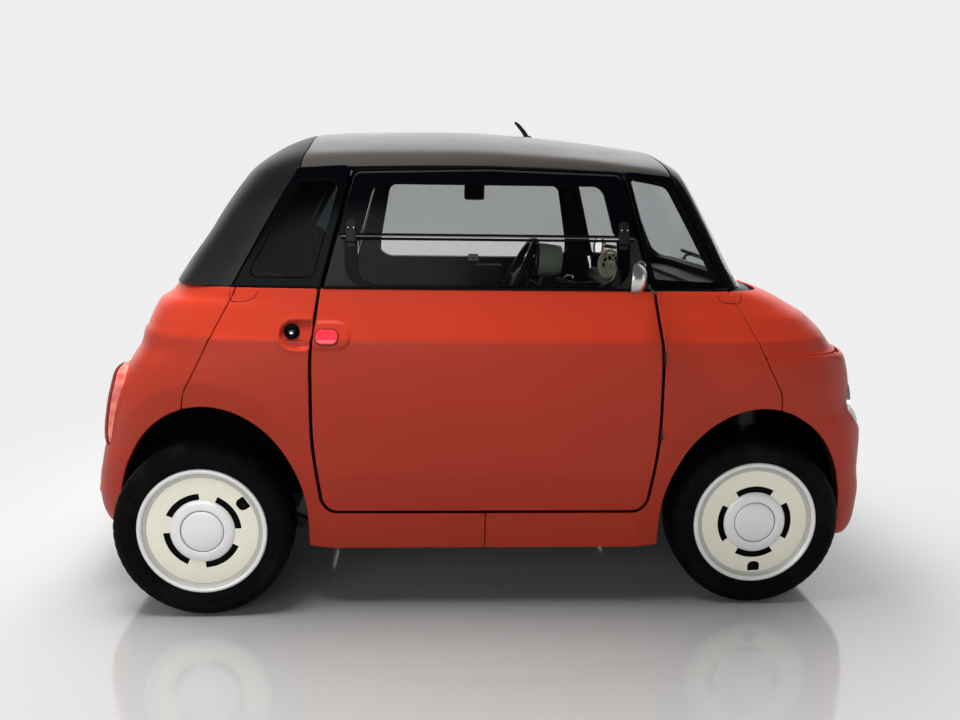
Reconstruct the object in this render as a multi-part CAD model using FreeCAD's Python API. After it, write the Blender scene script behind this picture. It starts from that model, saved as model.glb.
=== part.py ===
import FreeCAD, Part
import math, os
from FreeCAD import Vector as V

os.makedirs("parts", exist_ok=True)

# ---------------------------------------------------------------- driving dimensions (mm)
# Frame: +X forward, +Y to the car's left, +Z up. Origin on the ground at mid-wheelbase.
WHEELBASE = 1728.0
TYRE_R = 272.0            # loaded radius of a 155/65 R14 tyre
TYRE_W = 155.0
RIM_R = 178.0             # bead seat of a 14 inch rim
TRACK_F = 1095.0
TRACK_R = 1225.0
KING_Y = 500.0            # steering axis, each side
HALF_LEN = 1270.0
T_LOW = 45.0              # lower wall and door thickness
T_UP = 28.0               # pillar and window frame thickness
GLASS_T = 5.0
GAP = 14.0                # gap round a door
HINGE_X = 527.0
HINGE_Y = 700.0
HINGE_Z = (575.0, 812.0)
NF, NR = 6.5, 5.5         # plan roundness of the nose and of the tail
NG = 7.0                  # plan roundness of the upper cabin

XW = WHEELBASE / 2.0
ZW = TYRE_R

# height: half width, nose half length, tail half length
LOWER = [
    (200, 640, 1250, 1205), (260, 658, 1271, 1256), (335, 668, 1272, 1270),
    (430, 677, 1254, 1251), (520, 689, 1246, 1224), (620, 697, 1221, 1202),
    (700, 700, 1194, 1170), (780, 699, 1176, 1131), (830, 696, 1130, 1097),
    (880, 685, 1093, 1083), (920, 668, 1053, 1065), (960, 652, 988, 1036),
    (990, 640, 935, 998), (1012, 633, 876, 982),
]
UPPER = [
    (1005, 614, 837, 985), (1070, 606, 797, 945), (1120, 598, 770, 912),
    (1180, 589, 738, 869), (1260, 575, 694, 820), (1330, 560, 654, 776),
    (1372, 550, 626, 749), (1415, 540, 592, 703), (1520, 515, 520, 600),
]
# roof centre line height along the car
# (x, centre height, drop from the centre line to the gutter)
ROOF = [(-1020, 1250, 112), (-900, 1325, 112), (-820, 1384, 112), (-760, 1428, 112), (-698, 1459, 112), (-640, 1473, 112),
        (-560, 1483, 112), (-430, 1492, 112), (-250, 1497, 112), (-80, 1499, 112), (81, 1492, 108), (291, 1474, 98),
        (505, 1449, 88), (647, 1427, 85), (760, 1408, 85), (900, 1385, 85)]


def superplan(w, lf, lr, nf, nr, off=0.0, count=36):
    w, lf, lr = w - off, lf - off, lr - off
    pts = []
    for i in range(count):
        a = 2 * math.pi * (i + 0.5) / count
        # points gather in the corners of the plan
        c, s = math.cos(a), math.sin(a)
        l, n = (lf, nf) if c >= 0 else (lr, nr)
        ex, ey = l * c, w * s
        r = (abs(ex / l) ** n + abs(ey / w) ** n) ** (-1.0 / n)
        pts.append((ex * r, ey * r))
    return pts


def plan_knots(nf, nr):
    """one set of knots for every section of a loft, so that its surface stays light."""
    ref = superplan(670.0, 1150.0, 1130.0, nf, nr)
    ref.append(ref[0])
    k = [0.0]
    for (xa, ya), (xb, yb) in zip(ref, ref[1:]):
        k.append(k[-1] + math.hypot(xb - xa, yb - ya))
    return [v / k[-1] for v in k]


def plan_wire(z, w, lf, lr, nf, nr, off=0.0):
    pts = [V(x, y, z) for x, y in superplan(w, lf, lr, nf, nr, off)]
    c = Part.BSplineCurve()
    c.interpolate(Points=pts, PeriodicFlag=True, Parameters=plan_knots(nf, nr))
    return Part.Wire([c.toShape()])


def plan_loft(rows, nf, nr, off=0.0):
    wires = [plan_wire(z, w, lf, lr, nf, nr, off) for z, w, lf, lr in rows]
    return Part.makeLoft(wires, True, False)


def box(x0, x1, y0, y1, z0, z1):
    return Part.makeBox(x1 - x0, y1 - y0, z1 - z0, V(x0, y0, z0))


def cyl(p, axis, r, h):
    return Part.makeCylinder(r, h, V(*p), V(*axis))


def round_wire(pts, plane="xz", at=0.0):
    """closed outline of straight runs with rounded corners; pts are (a, b, radius)."""
    def v3(a, b):
        return V(a, at, b) if plane == "xz" else V(at, a, b)
    n = len(pts)
    ends = []
    for i in range(n):
        a0, b0, _ = pts[i - 1]
        a1, b1, r = pts[i]
        a2, b2, _ = pts[(i + 1) % n]
        ux, uy = a0 - a1, b0 - b1
        wx, wy = a2 - a1, b2 - b1
        lu, lw = math.hypot(ux, uy), math.hypot(wx, wy)
        ux, uy, wx, wy = ux / lu, uy / lu, wx / lw, wy / lw
        dot = max(-1.0, min(1.0, ux * wx + uy * wy))
        half = math.acos(dot) / 2
        if r <= 0 or abs(math.pi / 2 - half) < 1e-3:
            ends.append(((a1, b1), (a1, b1), (a1, b1)))
            continue
        d = min(r / math.tan(half), 0.49 * lu, 0.49 * lw)
        r = d * math.tan(half)
        p0 = (a1 + ux * d, b1 + uy * d)
        p2 = (a1 + wx * d, b1 + wy * d)
        bx, by = ux + wx, uy + wy
        bl = math.hypot(bx, by)
        cx, cy = a1 + bx / bl * r / math.sin(half), b1 + by / bl * r / math.sin(half)
        mx, my = cx - bx / bl * r, cy - by / bl * r
        ends.append((p0, (mx, my), p2))
    edges = []
    for i in range(n):
        p0, m, p2 = ends[i]
        if p0 != p2:
            edges.append(Part.Arc(v3(*p0), v3(*m), v3(*p2)).toShape())
        q0 = ends[(i + 1) % n][0]
        if math.hypot(q0[0] - p2[0], q0[1] - p2[1]) > 1e-6:
            edges.append(Part.LineSegment(v3(*p2), v3(*q0)).toShape())
    return Part.Wire(edges)


def prism_y(pts, y0, y1):
    f = Part.Face(round_wire(pts, "xz", y0))
    return f.extrude(V(0, y1 - y0, 0))


def prism_x(pts, x0, x1):
    f = Part.Face(round_wire(pts, "yz", x0))
    return f.extrude(V(x1 - x0, 0, 0))


def grown(pts, d, y0, y1):
    w = round_wire(pts, "xz", y0)
    o = w.makeOffset2D(d)
    return Part.Face(o).extrude(V(0, y1 - y0, 0))


def mirror_y(s):
    return s.mirror(V(0, 0, 0), V(0, 1, 0))


def turn_half(s):
    c = s.copy()
    c.rotate(V(0, 0, 0), V(0, 0, 1), 180)
    return c


def solids(s):
    return Part.makeCompound(s.Solids) if len(s.Solids) != 1 else s.Solids[0]


NODES = {}


def put(name, shape):
    NODES[name] = solids(shape)


# ---------------------------------------------------------------- body surfaces
low_out = plan_loft(LOWER, NF, NR)
low_in = plan_loft([(z, w, lf, lr) for z, w, lf, lr in
                    [(180,) + LOWER[0][1:]] + LOWER[1:-1] + [(1032,) + LOWER[-1][1:]]],
                   NF, NR, T_LOW)
low_shell = low_out.cut(low_in)

up_out = plan_loft(UPPER, NG, NG)
up_in = plan_loft([(985,) + UPPER[0][1:]] + UPPER[1:-1] + [(1540,) + UPPER[-1][1:]], NG, NG, T_UP)
gl_out = plan_loft([(985,) + UPPER[0][1:]] + UPPER[1:-1] + [(1540,) + UPPER[-1][1:]], NG, NG, 8.0)
gl_in = plan_loft([(975,) + UPPER[0][1:]] + UPPER[1:-1] + [(1550,) + UPPER[-1][1:]], NG, NG, 8.0 + GLASS_T)


def roof_solid(drop):
    """everything under the roof skin lowered by drop, as one loft of sections along the car."""
    wires = []
    for x, zc, dz in ROOF:
        top = []
        for i in range(-6, 7):
            y = 640.0 * i / 6.0
            top.append(V(x, y, zc - drop - dz * (abs(y) / 545.0) ** 2.3))
        c = Part.BSplineCurve()
        c.interpolate(Points=top, Parameters=[i / 12.0 for i in range(13)])
        e = c.toShape()
        a, b = top[0], top[-1]
        a0, b0 = V(x, a.y, 900), V(x, b.y, 900)
        wires.append(Part.Wire([e, Part.LineSegment(b, b0).toShape(),
                                Part.LineSegment(b0, a0).toShape(), Part.LineSegment(a0, a).toShape()]))
    return Part.makeLoft(wires, True, False)


roof_out = roof_solid(0.0)
roof_in = roof_solid(24.0)
up_full = up_out.common(roof_out)
up_void = up_in.common(roof_in)
up_shell = up_full.cut(up_void)
up_shell = up_shell.cut(box(-1400, 1400, -800, 800, 900, 1013.0))

# ---------------------------------------------------------------- outlines (x, z, radius)
ARCH_RX, ARCH_RZ, ARCH_X, ARCH_Z = 302.0, 377.0, 850.0, 280.0


def arch(side, grow=0.0, y0=-900.0, y1=900.0):
    """half-round wheel opening, open below."""
    pts = []
    n = 14
    for i in range(n + 1):
        a = math.pi * i / n
        pts.append(V(side * ARCH_X + (ARCH_RX + grow) * math.cos(a), y0, ARCH_Z + (ARCH_RZ + grow) * math.sin(a)))
    c = Part.BSplineCurve()
    c.interpolate(Points=pts)
    lo = 120.0
    a, b = pts[0], pts[-1]
    a0, b0 = V(a.x, y0, lo), V(b.x, y0, lo)
    w = Part.Wire([c.toShape(), Part.LineSegment(b, b0).toShape(), Part.LineSegment(b0, a0).toShape(),
                   Part.LineSegment(a0, a).toShape()])
    return Part.Face(w).extrude(V(0, y1 - y0, 0))


DOOR_LOW = [(-494, 333, 48), (-520, 560, 900), (-520, 820, 700), (-497, 1012, 0), (497, 1012, 0),
            (520, 820, 700), (520, 560, 900), (494, 333, 48)]
DOOR_UP = [(-494, 1006, 0), (-400, 1355, 26), (0, 1366, 0), (400, 1355, 26), (494, 1006, 0)]
DOOR_HOLE_LOW = [(-494, 333, 48), (-520, 560, 900), (-520, 820, 700), (-495, 1030, 0), (495, 1030, 0),
                 (520, 820, 700), (520, 560, 900), (494, 333, 48)]
DOOR_HOLE_UP = [(-501, 980, 0), (-400, 1355, 26), (0, 1366, 0), (400, 1355, 26), (501, 980, 0)]
PANE = [(-452, 1038, 70), (-434, 1190, 0), (-396, 1326, 48), (396, 1326, 48), (434, 1190, 0), (452, 1038, 70)]

SEAM_F = [(739, 1100, 0), (739, 1003, 0), (783, 934, 0), (861, 775, 0), (900, 704, 0), (908, 640, 0),
          (908, 150, 0), (1400, 150, 0), (1400, 1100, 0)]
SEAM_R = [(-755, 1100, 0), (-755, 1003, 0), (-795, 923, 0), (-880, 753, 0), (-911, 698, 0), (-922, 646, 0),
          (-922, 150, 0), (-1400, 150, 0), (-1400, 1100, 0)]

# ---------------------------------------------------------------- lower panels
arches = arch(1).fuse(arch(-1))
shell_a = low_shell.cut(arches)
door_prism = prism_y(DOOR_LOW, -900, 900)
door_hole = grown(DOOR_HOLE_LOW, GAP, -900, 900)
rest = shell_a.cut(door_hole)
front_region = prism_y(SEAM_F, -900, 900)
rear_region = prism_y(SEAM_R, -900, 900)
front_clip = rest.common(front_region)
rear_clip = rest.common(rear_region)
front_cut = grown(SEAM_F, 2.0, -900, 900)
rear_cut = grown(SEAM_R, 2.0, -900, 900)
mid = rest.cut(front_cut).cut(rear_cut).cut(box(-1.0, 1.0, -900, 900, 100, 1100))
right_half = box(-1500, 1500, -900, 0, 0, 1700)
left_half = box(-1500, 1500, 0, 900, 0, 1700)
front_half = box(0, 1500, -900, 900, 0, 1700)
rear_half = box(-1500, 0, -900, 900, 0, 1700)
mid_f, mid_r = mid.common(front_half), mid.common(rear_half)

BREAK_Z = 818.0
# lamp seats
LAMP_Y, LAMP_Z, LAMP_R = 500.0, 640.0, 76.0
for s in (-1, 1):
    front_clip = front_clip.cut(cyl((1080, s * LAMP_Y, LAMP_Z), (1, 0, 0), LAMP_R + 2, 300))
# tow eye hole in the nose, right of centre
EYE_Y, EYE_Z, EYE_R = -330.0, 420.0, 9.0
front_clip = front_clip.cut(cyl((1150, EYE_Y, EYE_Z), (1, 0, 0), EYE_R, 200))
# room for the steered wheels: the tyre's outline swung about each steering axis, with a margin
SWING_GAP = 8.0
for s in (-1, 1):
    prof = [V(0, 0, 60)]
    for z in (60, 110, 160, 210, 250, 294, 334, 384, 434, 484):
        far = 0.0
        for r, t in ((272.0, 40.0), (270.5, 57.0), (265.0, 66.0), (254.0, 74.0), (240.0, 77.5)):
            d2 = r * r - (z - TYRE_R) ** 2
            if d2 > 0:
                far = max(far, math.sqrt(d2 + (TRACK_F / 2 - KING_Y + t) ** 2))
        prof.append(V(far + SWING_GAP, 0, z))
    prof.append(V(0, 0, 484))
    prof.append(prof[0])
    swing = Part.Face(Part.makePolygon(prof)).revolve(V(0, 0, 0), V(0, 0, 1), 360)
    swing.translate(V(WHEELBASE / 2, s * KING_Y, 0))
    front_clip = front_clip.cut(swing)
# the nose panel below the break line, the bonnet with its shoulders above it
put("nose_panel", front_clip.common(box(0, 1500, -900, 900, 0, BREAK_Z - 1)))
put("hood", front_clip.common(box(0, 1500, -900, 900, BREAK_Z + 1, 1200)))
put("rear_clip", rear_clip)
put("side_front_right", mid_f.common(right_half))
put("side_front_left", mid_f.common(left_half))
put("side_rear_right", mid_r.common(right_half))
put("side_rear_left", mid_r.common(left_half))

# ---------------------------------------------------------------- upper cabin
door_up_hole = grown(DOOR_HOLE_UP, GAP, -900, 900)
ROOF_CUT = [(-590, 1368, 0), (-590, 1600, 0), (900, 1600, 0), (900, 1340, 0), (640, 1346, 0), (560, 1352, 0), (400, 1369, 0), (0, 1381, 0), (-400, 1369, 0)]
roof_region = prism_y(ROOF_CUT, -900, 900)
WS = [(-555, 1030, 30), (-484, 1372, 30), (0, 1392, 0), (484, 1372, 30), (555, 1030, 30)]
ws_prism = prism_x(WS, 480, 1200)
roof_panel = up_shell.common(roof_region).cut(ws_prism)
put("roof_panel", roof_panel)
below = up_shell.cut(grown(ROOF_CUT, 2.0, -900, 900))

CAP = [(-786, 1000, 0), (-600, 1366, 0), (-592, 1382, 0), (-592, 1600, 0), (-1400, 1600, 0), (-1400, 1000, 0)]
cap = below.common(prism_y(CAP, -900, 900))
REAR_WIN = [(-470, 1070, 60), (-400, 1370, 50), (400, 1370, 50), (470, 1070, 60)]
rear_win_prism = prism_x(REAR_WIN, -1300, -500)
cap = cap.cut(rear_win_prism)
put("rear_roof_cap", cap)

sides = below.cut(grown(CAP, 2.0, -900, 900)).cut(door_up_hole)
QF = [(508, 1046, 16), (692, 1036, 12), (716, 1044, 12), (560, 1328, 36), (434, 1342, 12), (466, 1216, 0)]
QR = [(-738, 1042, 20), (-590, 1330, 24), (-446, 1330, 24), (-524, 1042, 20)]
qf_prism = prism_y(QF, -900, 900)
qr_prism = prism_y(QR, -900, 900)
sides = sides.cut(qf_prism).cut(qr_prism).cut(ws_prism)
put("pillars_right", sides.common(right_half))
put("pillars_left", sides.common(left_half))

gl_shell = gl_out.cut(gl_in).common(roof_in)
ws_in = prism_x([(a * 0.997, b + (1.2 if b < 1200 else -1.6), r) for a, b, r in WS], 480, 1200)
put("windscreen", gl_shell.common(ws_in))
rw_in = prism_x([(a * 0.997, b + (1.2 if b < 1200 else -1.2), r) for a, b, r in REAR_WIN], -1300, -500)
put("rear_window", gl_shell.common(rw_in))
quarters = gl_shell.common(grown(QF, -1.0, -900, 900)).Solids + gl_shell.common(grown(QR, -1.0, -900, 900)).Solids
put("quarter_glasses", Part.makeCompound(quarters))

# ---------------------------------------------------------------- doors
dp = shell_a.common(door_prism).common(right_half)
df = up_shell.common(prism_y(DOOR_UP, -900, 0))
df = df.cut(prism_y(PANE, -900, 0))
ROD_Z = 1165.0
pane_in = grown(PANE, -1.0, -900, 0)
g = gl_shell.common(pane_in)
upper_pane = g.common(box(-600, 600, -900, 0, ROD_Z + 7, 1500))
flap = g.common(box(-600, 600, -900, 0, 900, ROD_Z - 7))
dg = Part.makeCompound(upper_pane.Solids + flap.Solids)


def side_y(z, rows):
    for (z0, w0, _, _), (z1, w1, _, _) in zip(rows, rows[1:]):
        if z0 <= z <= z1:
            return w0 + (w1 - w0) * (z - z0) / (z1 - z0)
    return rows[-1][1]


yr = side_y(ROD_Z, UPPER)
rod = cyl((-440, -(yr - 4), ROD_Z), (1, 0, 0), 5.0, 880)
br = []
for s in (-1, 1):
    br.append(box(s * 440 - 10, s * 440 + 10, -(yr + 8), -(yr - 16), ROD_Z - 24, ROD_Z + 24))
hw = rod.fuse(br)
# outside release on the rear edge: an oval push plate standing 8 mm proud
yb = side_y(874, LOWER)
push = cyl((-476, -(yb + 6), 874), (0, 1, 0), 24, 14)
hw_parts = [hw.cut(df).cut(dg), push.cut(dp)]
# inside pull, near the latch edge
pull = box(-400, -250, -(yb - T_LOW - 1), -(yb - T_LOW - 26), 905, 925)
hw_parts.append(pull.cut(dp))


def hinge(z, door):
    """door side knuckle and arm of one hinge, round the body's pin."""
    k = cyl((HINGE_X, -HINGE_Y, z + 8), (0, 0, 1), 5.5, 14)
    yb0 = side_y(z + 15, LOWER)
    arm = box(512, HINGE_X + 1, -HINGE_Y + 1, -yb0 + 12, z + 8, z + 22)
    h = k.fuse(arm).cut(cyl((HINGE_X, -HINGE_Y, z - 40), (0, 0, 1), 3.06, 120))
    return h


dp2 = dp
knuckles_r = []
for z in HINGE_Z:
    h = hinge(z, dp)
    knuckles_r.append(h)
    dp2 = dp2.fuse(h)
put("door_panel_right", dp2)
put("door_frame_right", df)
put("door_glass_right", dg)
put("door_fittings_right", Part.makeCompound([s for p in hw_parts for s in p.Solids]))
for part in ("door_panel", "door_frame"):
    put(part + "_left", turn_half(NODES[part + "_right"]))
# the left door's window is one pane, with no flap hinge across it
put("door_glass_left", turn_half(g))
put("door_fittings_left", turn_half(Part.makeCompound([s for p in hw_parts[1:] for s in p.Solids])))

# body side of the hinges: a lug reaching out through the gap, with the pin
lugs = []
for z in HINGE_Z:
    lug = box(HINGE_X - 4, HINGE_X + 4, -HINGE_Y - 4, -620, z - 8, z + 6)
    lug = lug.fuse(box(HINGE_X - 4, HINGE_X + 40, -650, -600, z - 8, z + 6))
    pin = cyl((HINGE_X, -HINGE_Y, z - 8), (0, 0, 1), 3.0, 36)
    lugs.append(lug.fuse(pin))
lug_r = Part.makeCompound([s for l in lugs for s in l.cut(NODES["side_front_right"]).Solids])
lug_l = [s for l in lugs for s in turn_half(l).cut(NODES["side_rear_left"]).Solids]
put("door_hinges", Part.makeCompound(lug_r.Solids + lug_l))

# ---------------------------------------------------------------- structure under the skin
inner = plan_loft([(180,) + LOWER[0][1:]] + LOWER[1:-1] + [(1032,) + LOWER[-1][1:]], NF, NR, T_LOW + 1.0)
floor = box(-560, 548, -620, 620, 205, 235).common(inner)
put("floor_pan", floor)
liners = []
for sx, ywall in ((1, 315.0), (-1, 495.0)):
    outer = arch(sx, 22.0, ywall - 6, 690.0)
    void = arch(sx, 16.0, ywall, 700.0)
    one = outer.cut(void).cut(box(-1500, 1500, -900, 900, 0, 236.5)).common(inner)
    if sx < 0:      # the trailing arm and stub axle pass through the inner wall
        one = one.cut(box(-930, -500, 400, 520, 200, 335))
    liners += one.Solids + mirror_y(one).Solids
put("wheelhouse_liners", Part.makeCompound(liners))
front_bulk = box(552, 572, -300, 300, 205, 792)
rear_bulk = box(-640, -620, -480, 480, 236, 940)
for s in (-1, 1):       # notched for the trailing arms
    rear_bulk = rear_bulk.cut(box(-700, -600, min(s * 445, s * 700), max(s * 445, s * 700), 200, 300))
rear_bulk = rear_bulk.fuse(box(-940, -620, -480, 480, 940, 958)).common(
    plan_loft([(180,) + LOWER[0][1:]] + LOWER[1:-1] + [(1032,) + LOWER[-1][1:]], NF, NR, T_LOW + 4.0))
put("front_bulkhead", front_bulk)
put("rear_bulkhead_shelf", rear_bulk)

# ---------------------------------------------------------------- cowl and dashboard
cowl = box(700, 870, -560, 560, 985, 1010).common(inner)
put("cowl", cowl)
dash = prism_y([(500, 800, 40), (470, 955, 50), (690, 1000, 30), (690, 972, 10), (600, 900, 20), (580, 800, 20)], -560, 560)
dash = dash.common(inner)
put("dashboard", dash)
# instrument drum ahead of the steering wheel
SW_X, SW_Y, SW_Z = 151.0, 300.0, 962.0
SW_A = (-0.887, 0.0, 0.461)
col0 = (SW_X - SW_A[0] * 60, SW_Y, SW_Z - SW_A[2] * 60)
column = cyl(col0, (-SW_A[0], 0, -SW_A[2]), 24, 330)
column = column.fuse(box(250, 400, SW_Y - 60, SW_Y + 60, 860, 985).common(
    cyl((250, SW_Y, 925), (1, 0, -0.3), 62, 200)))
put("steering_column", column.cut(NODES["dashboard"]))
drum = cyl((268, 200, 1042), (1, 0, 0), 46, 60)
drum = drum.fuse(box(286, 306, 190, 210, 925, 1010))
drum = drum.fuse(box(286, 480, 190, 210, 925, 940))
put("instrument_pod", drum.cut(NODES["dashboard"]).cut(column))
fan = cyl((496, 120, 1040), (-0.94, 0, 0.34), 44, 22)
fan = fan.fuse(cyl((490, 120, 940), (0, 0, 1), 9, 85))
put("desk_fan", fan.cut(NODES["dashboard"]))

# ---------------------------------------------------------------- seats
cush, back, base = [], [], []
for sy in (-1, 1):
    cy = sy * 285.0
    c = prism_y([(-560, 430, 30), (-560, 520, 30), (-120, 560, 55), (-110, 470, 40)], cy - 202, cy + 202)
    cush.append(c)
    b = prism_y([(-556, 545, 25), (-640, 1000, 30), (-700, 1190, 30), (-618, 1200, 35), (-560, 1000, 60), (-440, 552, 45)],
                cy - 205, cy + 205)
    b = b.common(prism_x([(cy - 205, 500, 0), (cy - 205, 960, 110), (cy - 120, 1060, 60), (cy - 105, 1260, 45),
                          (cy + 105, 1260, 45), (cy + 120, 1060, 60), (cy + 205, 960, 110), (cy + 205, 500, 0)], -900, 0))
    back.append(b)
    base.append(box(-520, -160, cy - 180, cy + 180, 236, 428))
put("seat_cushions", Part.makeCompound([s.Solids[0] for s in cush]))
backs = Part.makeCompound([s.Solids[0] for s in back]).cut(box(-660, -619, -500, 500, 236, 960))
put("seat_backs", backs)
put("seat_bases", Part.makeCompound(base))

# ---------------------------------------------------------------- running gear
put("drive_motor", box(700, 960, -170, 170, 225, 470))
sub = box(700, 780, -290, 290, 170, 200)
sub = sub.fuse(box(940, 1010, -290, 290, 170, 200))
for s in (-1, 1):
    sub = sub.fuse(box(700, 1010, min(s * 230, s * 290), max(s * 230, s * 290), 170, 222))
    arm = prism_y([(0, 0, 0), (1, 0, 0), (1, 1, 0), (0, 1, 0)], 0, 1)
    w = Part.makePolygon([V(705, s * 285, 178), V(1005, s * 285, 178), V(XW + 24, s * 514, 178),
                          V(XW - 24, s * 514, 178), V(705, s * 285, 178)])
    a = Part.Face(w).extrude(V(0, 0, 18))
    sub = sub.fuse(a)
put("front_subframe", sub)

axle = cyl((-700, -470, 262), (0, 1, 0), 34, 940)
for s in (-1, 1):
    y0, y1 = (450, 485) if s > 0 else (-485, -450)
    axle = axle.fuse(prism_y([(-560, 207, 0), (-560, 232, 0), (-700, 300, 20), (-905, 312, 30), (-905, 236, 30), (-700, 226, 20)], y0, y1))
    axle = axle.fuse(cyl((-XW, s * 483, ZW), (0, s, 0), 46, 23))
    axle = axle.fuse(cyl((-XW, s * 490, ZW), (0, s, 0), 15.0, TRACK_R / 2 - 490 + 49))
put("rear_axle", axle)


def knuckle(s):
    yk = TRACK_F / 2
    k = cyl((XW, s * 462, ZW), (0, s, 0), 52, 28)
    k = k.fuse(cyl((XW, s * 470, ZW), (0, s, 0), 15.0, yk - 470 + 49))
    k = k.fuse(box(XW - 26, XW + 26, min(s * 428, s * 470), max(s * 428, s * 470), 300, 420))
    k = k.fuse(cyl((XW, s * 438, 380), (0, 0, 1), 22, 270))
    k = k.fuse(cyl((XW, s * 438, 560), (0, 0, 1), 46, 76))
    # lower ball joint, standing just above its arm
    k = k.fuse(cyl((XW, s * KING_Y, 203), (0, 0, 1), 16, 60))
    # steering arm, rearwards
    k = k.fuse(box(XW - 120, XW, min(s * 440, s * 470), max(s * 440, s * 470), 262, 282))
    return k


put("knuckle_right", knuckle(-1))
put("knuckle_left", knuckle(1))


def revolve_y(pts, cx, cy, cz, s):
    """turn an (r, t) outline round the wheel's axis; t runs outwards."""
    vs = [V(cx + r, cy + s * t, cz) for r, t in pts]
    vs.append(vs[0])
    f = Part.Face(Part.Wire(Part.makePolygon(vs)))
    return f.revolve(V(cx, cy, cz), V(0, 1, 0), 360)


TYRE = [(178, 50), (184, 56), (196, 60), (208, 70), (225, 76.5), (240, 77.5), (254, 74), (265, 66), (270.5, 57),
        (272, 40), (272, -40), (270.5, -57), (265, -66), (254, -74), (240, -77.5), (225, -76.5), (208, -70),
        (196, -60), (184, -56), (178, -50)]
WHEEL = [(165, -60), (177.6, -60), (177.6, 50.5), (181, 60), (196, 62.5), (197, 64.5), (193, 67), (171, 64), (166, 60), (97, 60),
         (94, 63.5), (62, 66), (58, 64.5), (0, 65.5), (0, 52), (15.06, 52), (15.06, 16), (36, 16), (38, 54), (165, 54)]


def wheel(sx, s, track, rot):
    cx, cy, cz = sx * XW, s * track / 2, ZW
    t = revolve_y(TYRE, cx, cy, cz, s)
    w = revolve_y(WHEEL, cx, cy, cz, s)
    for k in range(4):
        a0 = rot + k * 90.0
        ring = Part.makeCylinder(116, 40, V(0, 0, 0), V(0, 0, 1), 54).cut(Part.makeCylinder(98, 40, V(0, 0, 0)))
        ring.rotate(V(0, 0, 0), V(0, 0, 1), a0 - 27)
        ring.rotate(V(0, 0, 0), V(1, 0, 0), 90)       # disc plane to XZ, axis to -Y
        ring.translate(V(cx, cy + s * 56 + 20, cz))
        w = w.cut(ring)
    return t, w


for sx, s, track, name, rot in ((1, -1, TRACK_F, "front_right", 0), (1, 1, TRACK_F, "front_left", 0),
                                (-1, -1, TRACK_R, "rear_right", 45), (-1, 1, TRACK_R, "rear_left", 45)):
    t, w = wheel(sx, s, track, rot)
    put("tyre_" + name, t)
    put("wheel_" + name, w)

# steering wheel, turning on its column
n = V(*SW_A)
c0 = V(SW_X, SW_Y, SW_Z)
rim = Part.makeTorus(166, 14, c0, n)
hub = Part.makeCylinder(46, 42, c0 - n * 50, n)
sw = rim.fuse(hub)
u = V(0, 1, 0)
v = n.cross(u)
for a in (0, 180, 270):
    d = u * math.cos(math.radians(a)) + v * math.sin(math.radians(a))
    sw = sw.fuse(Part.makeCylinder(10, 150, c0 - n * 22 + d * 20, (d * 146 + n * 22).normalize()))
put("steering_wheel", sw)

# ---------------------------------------------------------------- lamps and trim
lamps = []
for s in (-1, 1):
    l = cyl((1110, s * LAMP_Y, LAMP_Z), (1, 0, 0), LAMP_R, 200).common(
        plan_loft([(z, w, lf + 6, lr) for z, w, lf, lr in LOWER], NF, NR))
    lamps += l.Solids
put("headlights", Part.makeCompound(lamps))
tails = []
for s in (-1, 1):
    y0 = s * 450.0
    tl = prism_x([(y0 - 82, 462, 80), (y0 - 82, 764, 80), (y0 + 82, 764, 80), (y0 + 82, 462, 80)], -1300, -1040)
    big = plan_loft([(z, w + 20, lf, lr + 26) for z, w, lf, lr in LOWER], NF, NR)
    tl = tl.common(big).cut(low_out)
    tails += [max(tl.Solids, key=lambda q: q.Volume)]
put("tail_lights", Part.makeCompound(tails))
plates = [box(1262, 1266, -160, 160, 395, 505), box(-1266, -1262, -160, 160, 395, 505)]
put("number_plates", Part.makeCompound([p.cut(low_out) for p in plates]))
DOME = (0.0, 0.0)
put("dome_lamp", box(-52, 8, -30, 30, 1440, 1460).common(roof_in))
put("antenna", cyl((157, 0, 1486), (-0.55, 0, 0.835), 3.0, 66).cut(roof_out).fuse(cyl((157, 0, 1484), (0, 0, 1), 12, 10).cut(roof_out)))

# mirrors: the right one on its door's frame, the left one on the front pillar
m = Part.makeSphere(1.0)
mat = FreeCAD.Matrix()
mat.A11, mat.A22, mat.A33 = 26.0, 50.0, 44.0
m = m.transformGeometry(mat)


def mirror(centre, x_cut, foot, top):
    """a half bowl with its flat glass facing rearwards, on a thin arm."""
    b = m.copy()
    b.translate(V(*centre))
    b = b.cut(box(x_cut - 100, x_cut, centre[1] - 150, centre[1] + 150, 900, 1200))
    p0, p1 = V(*foot), V(*top)
    b = b.fuse(Part.makeCylinder(8, (p1 - p0).Length, p0, p1 - p0)).cut(up_out)
    return max(b.Solids, key=lambda q: q.Volume)


put("mirror_right", mirror((424, -748, 1070), 412, (459, -596, 1084), (430, -726, 1078)))
put("mirror_left", mirror((560, 748, 1070), 548, (640, 586, 1060), (566, 726, 1074)))

# ---------------------------------------------------------------- write
for name, shape in NODES.items():
    ok = all(s.isValid() for s in shape.Solids)
    bb = shape.optimalBoundingBox(False, False)
    print("%-24s solids %d valid %s vol %.1f L  x %.0f..%.0f y %.0f..%.0f z %.0f..%.0f" % (
        name, len(shape.Solids), ok, shape.Volume / 1e6, bb.XMin, bb.XMax, bb.YMin, bb.YMax, bb.ZMin, bb.ZMax))
    shape.exportStep("parts/%s.step" % name)
print(len(NODES), "nodes")
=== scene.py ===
import bpy
import math
import numpy as np
from mathutils import Vector, Matrix, geometry


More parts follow.
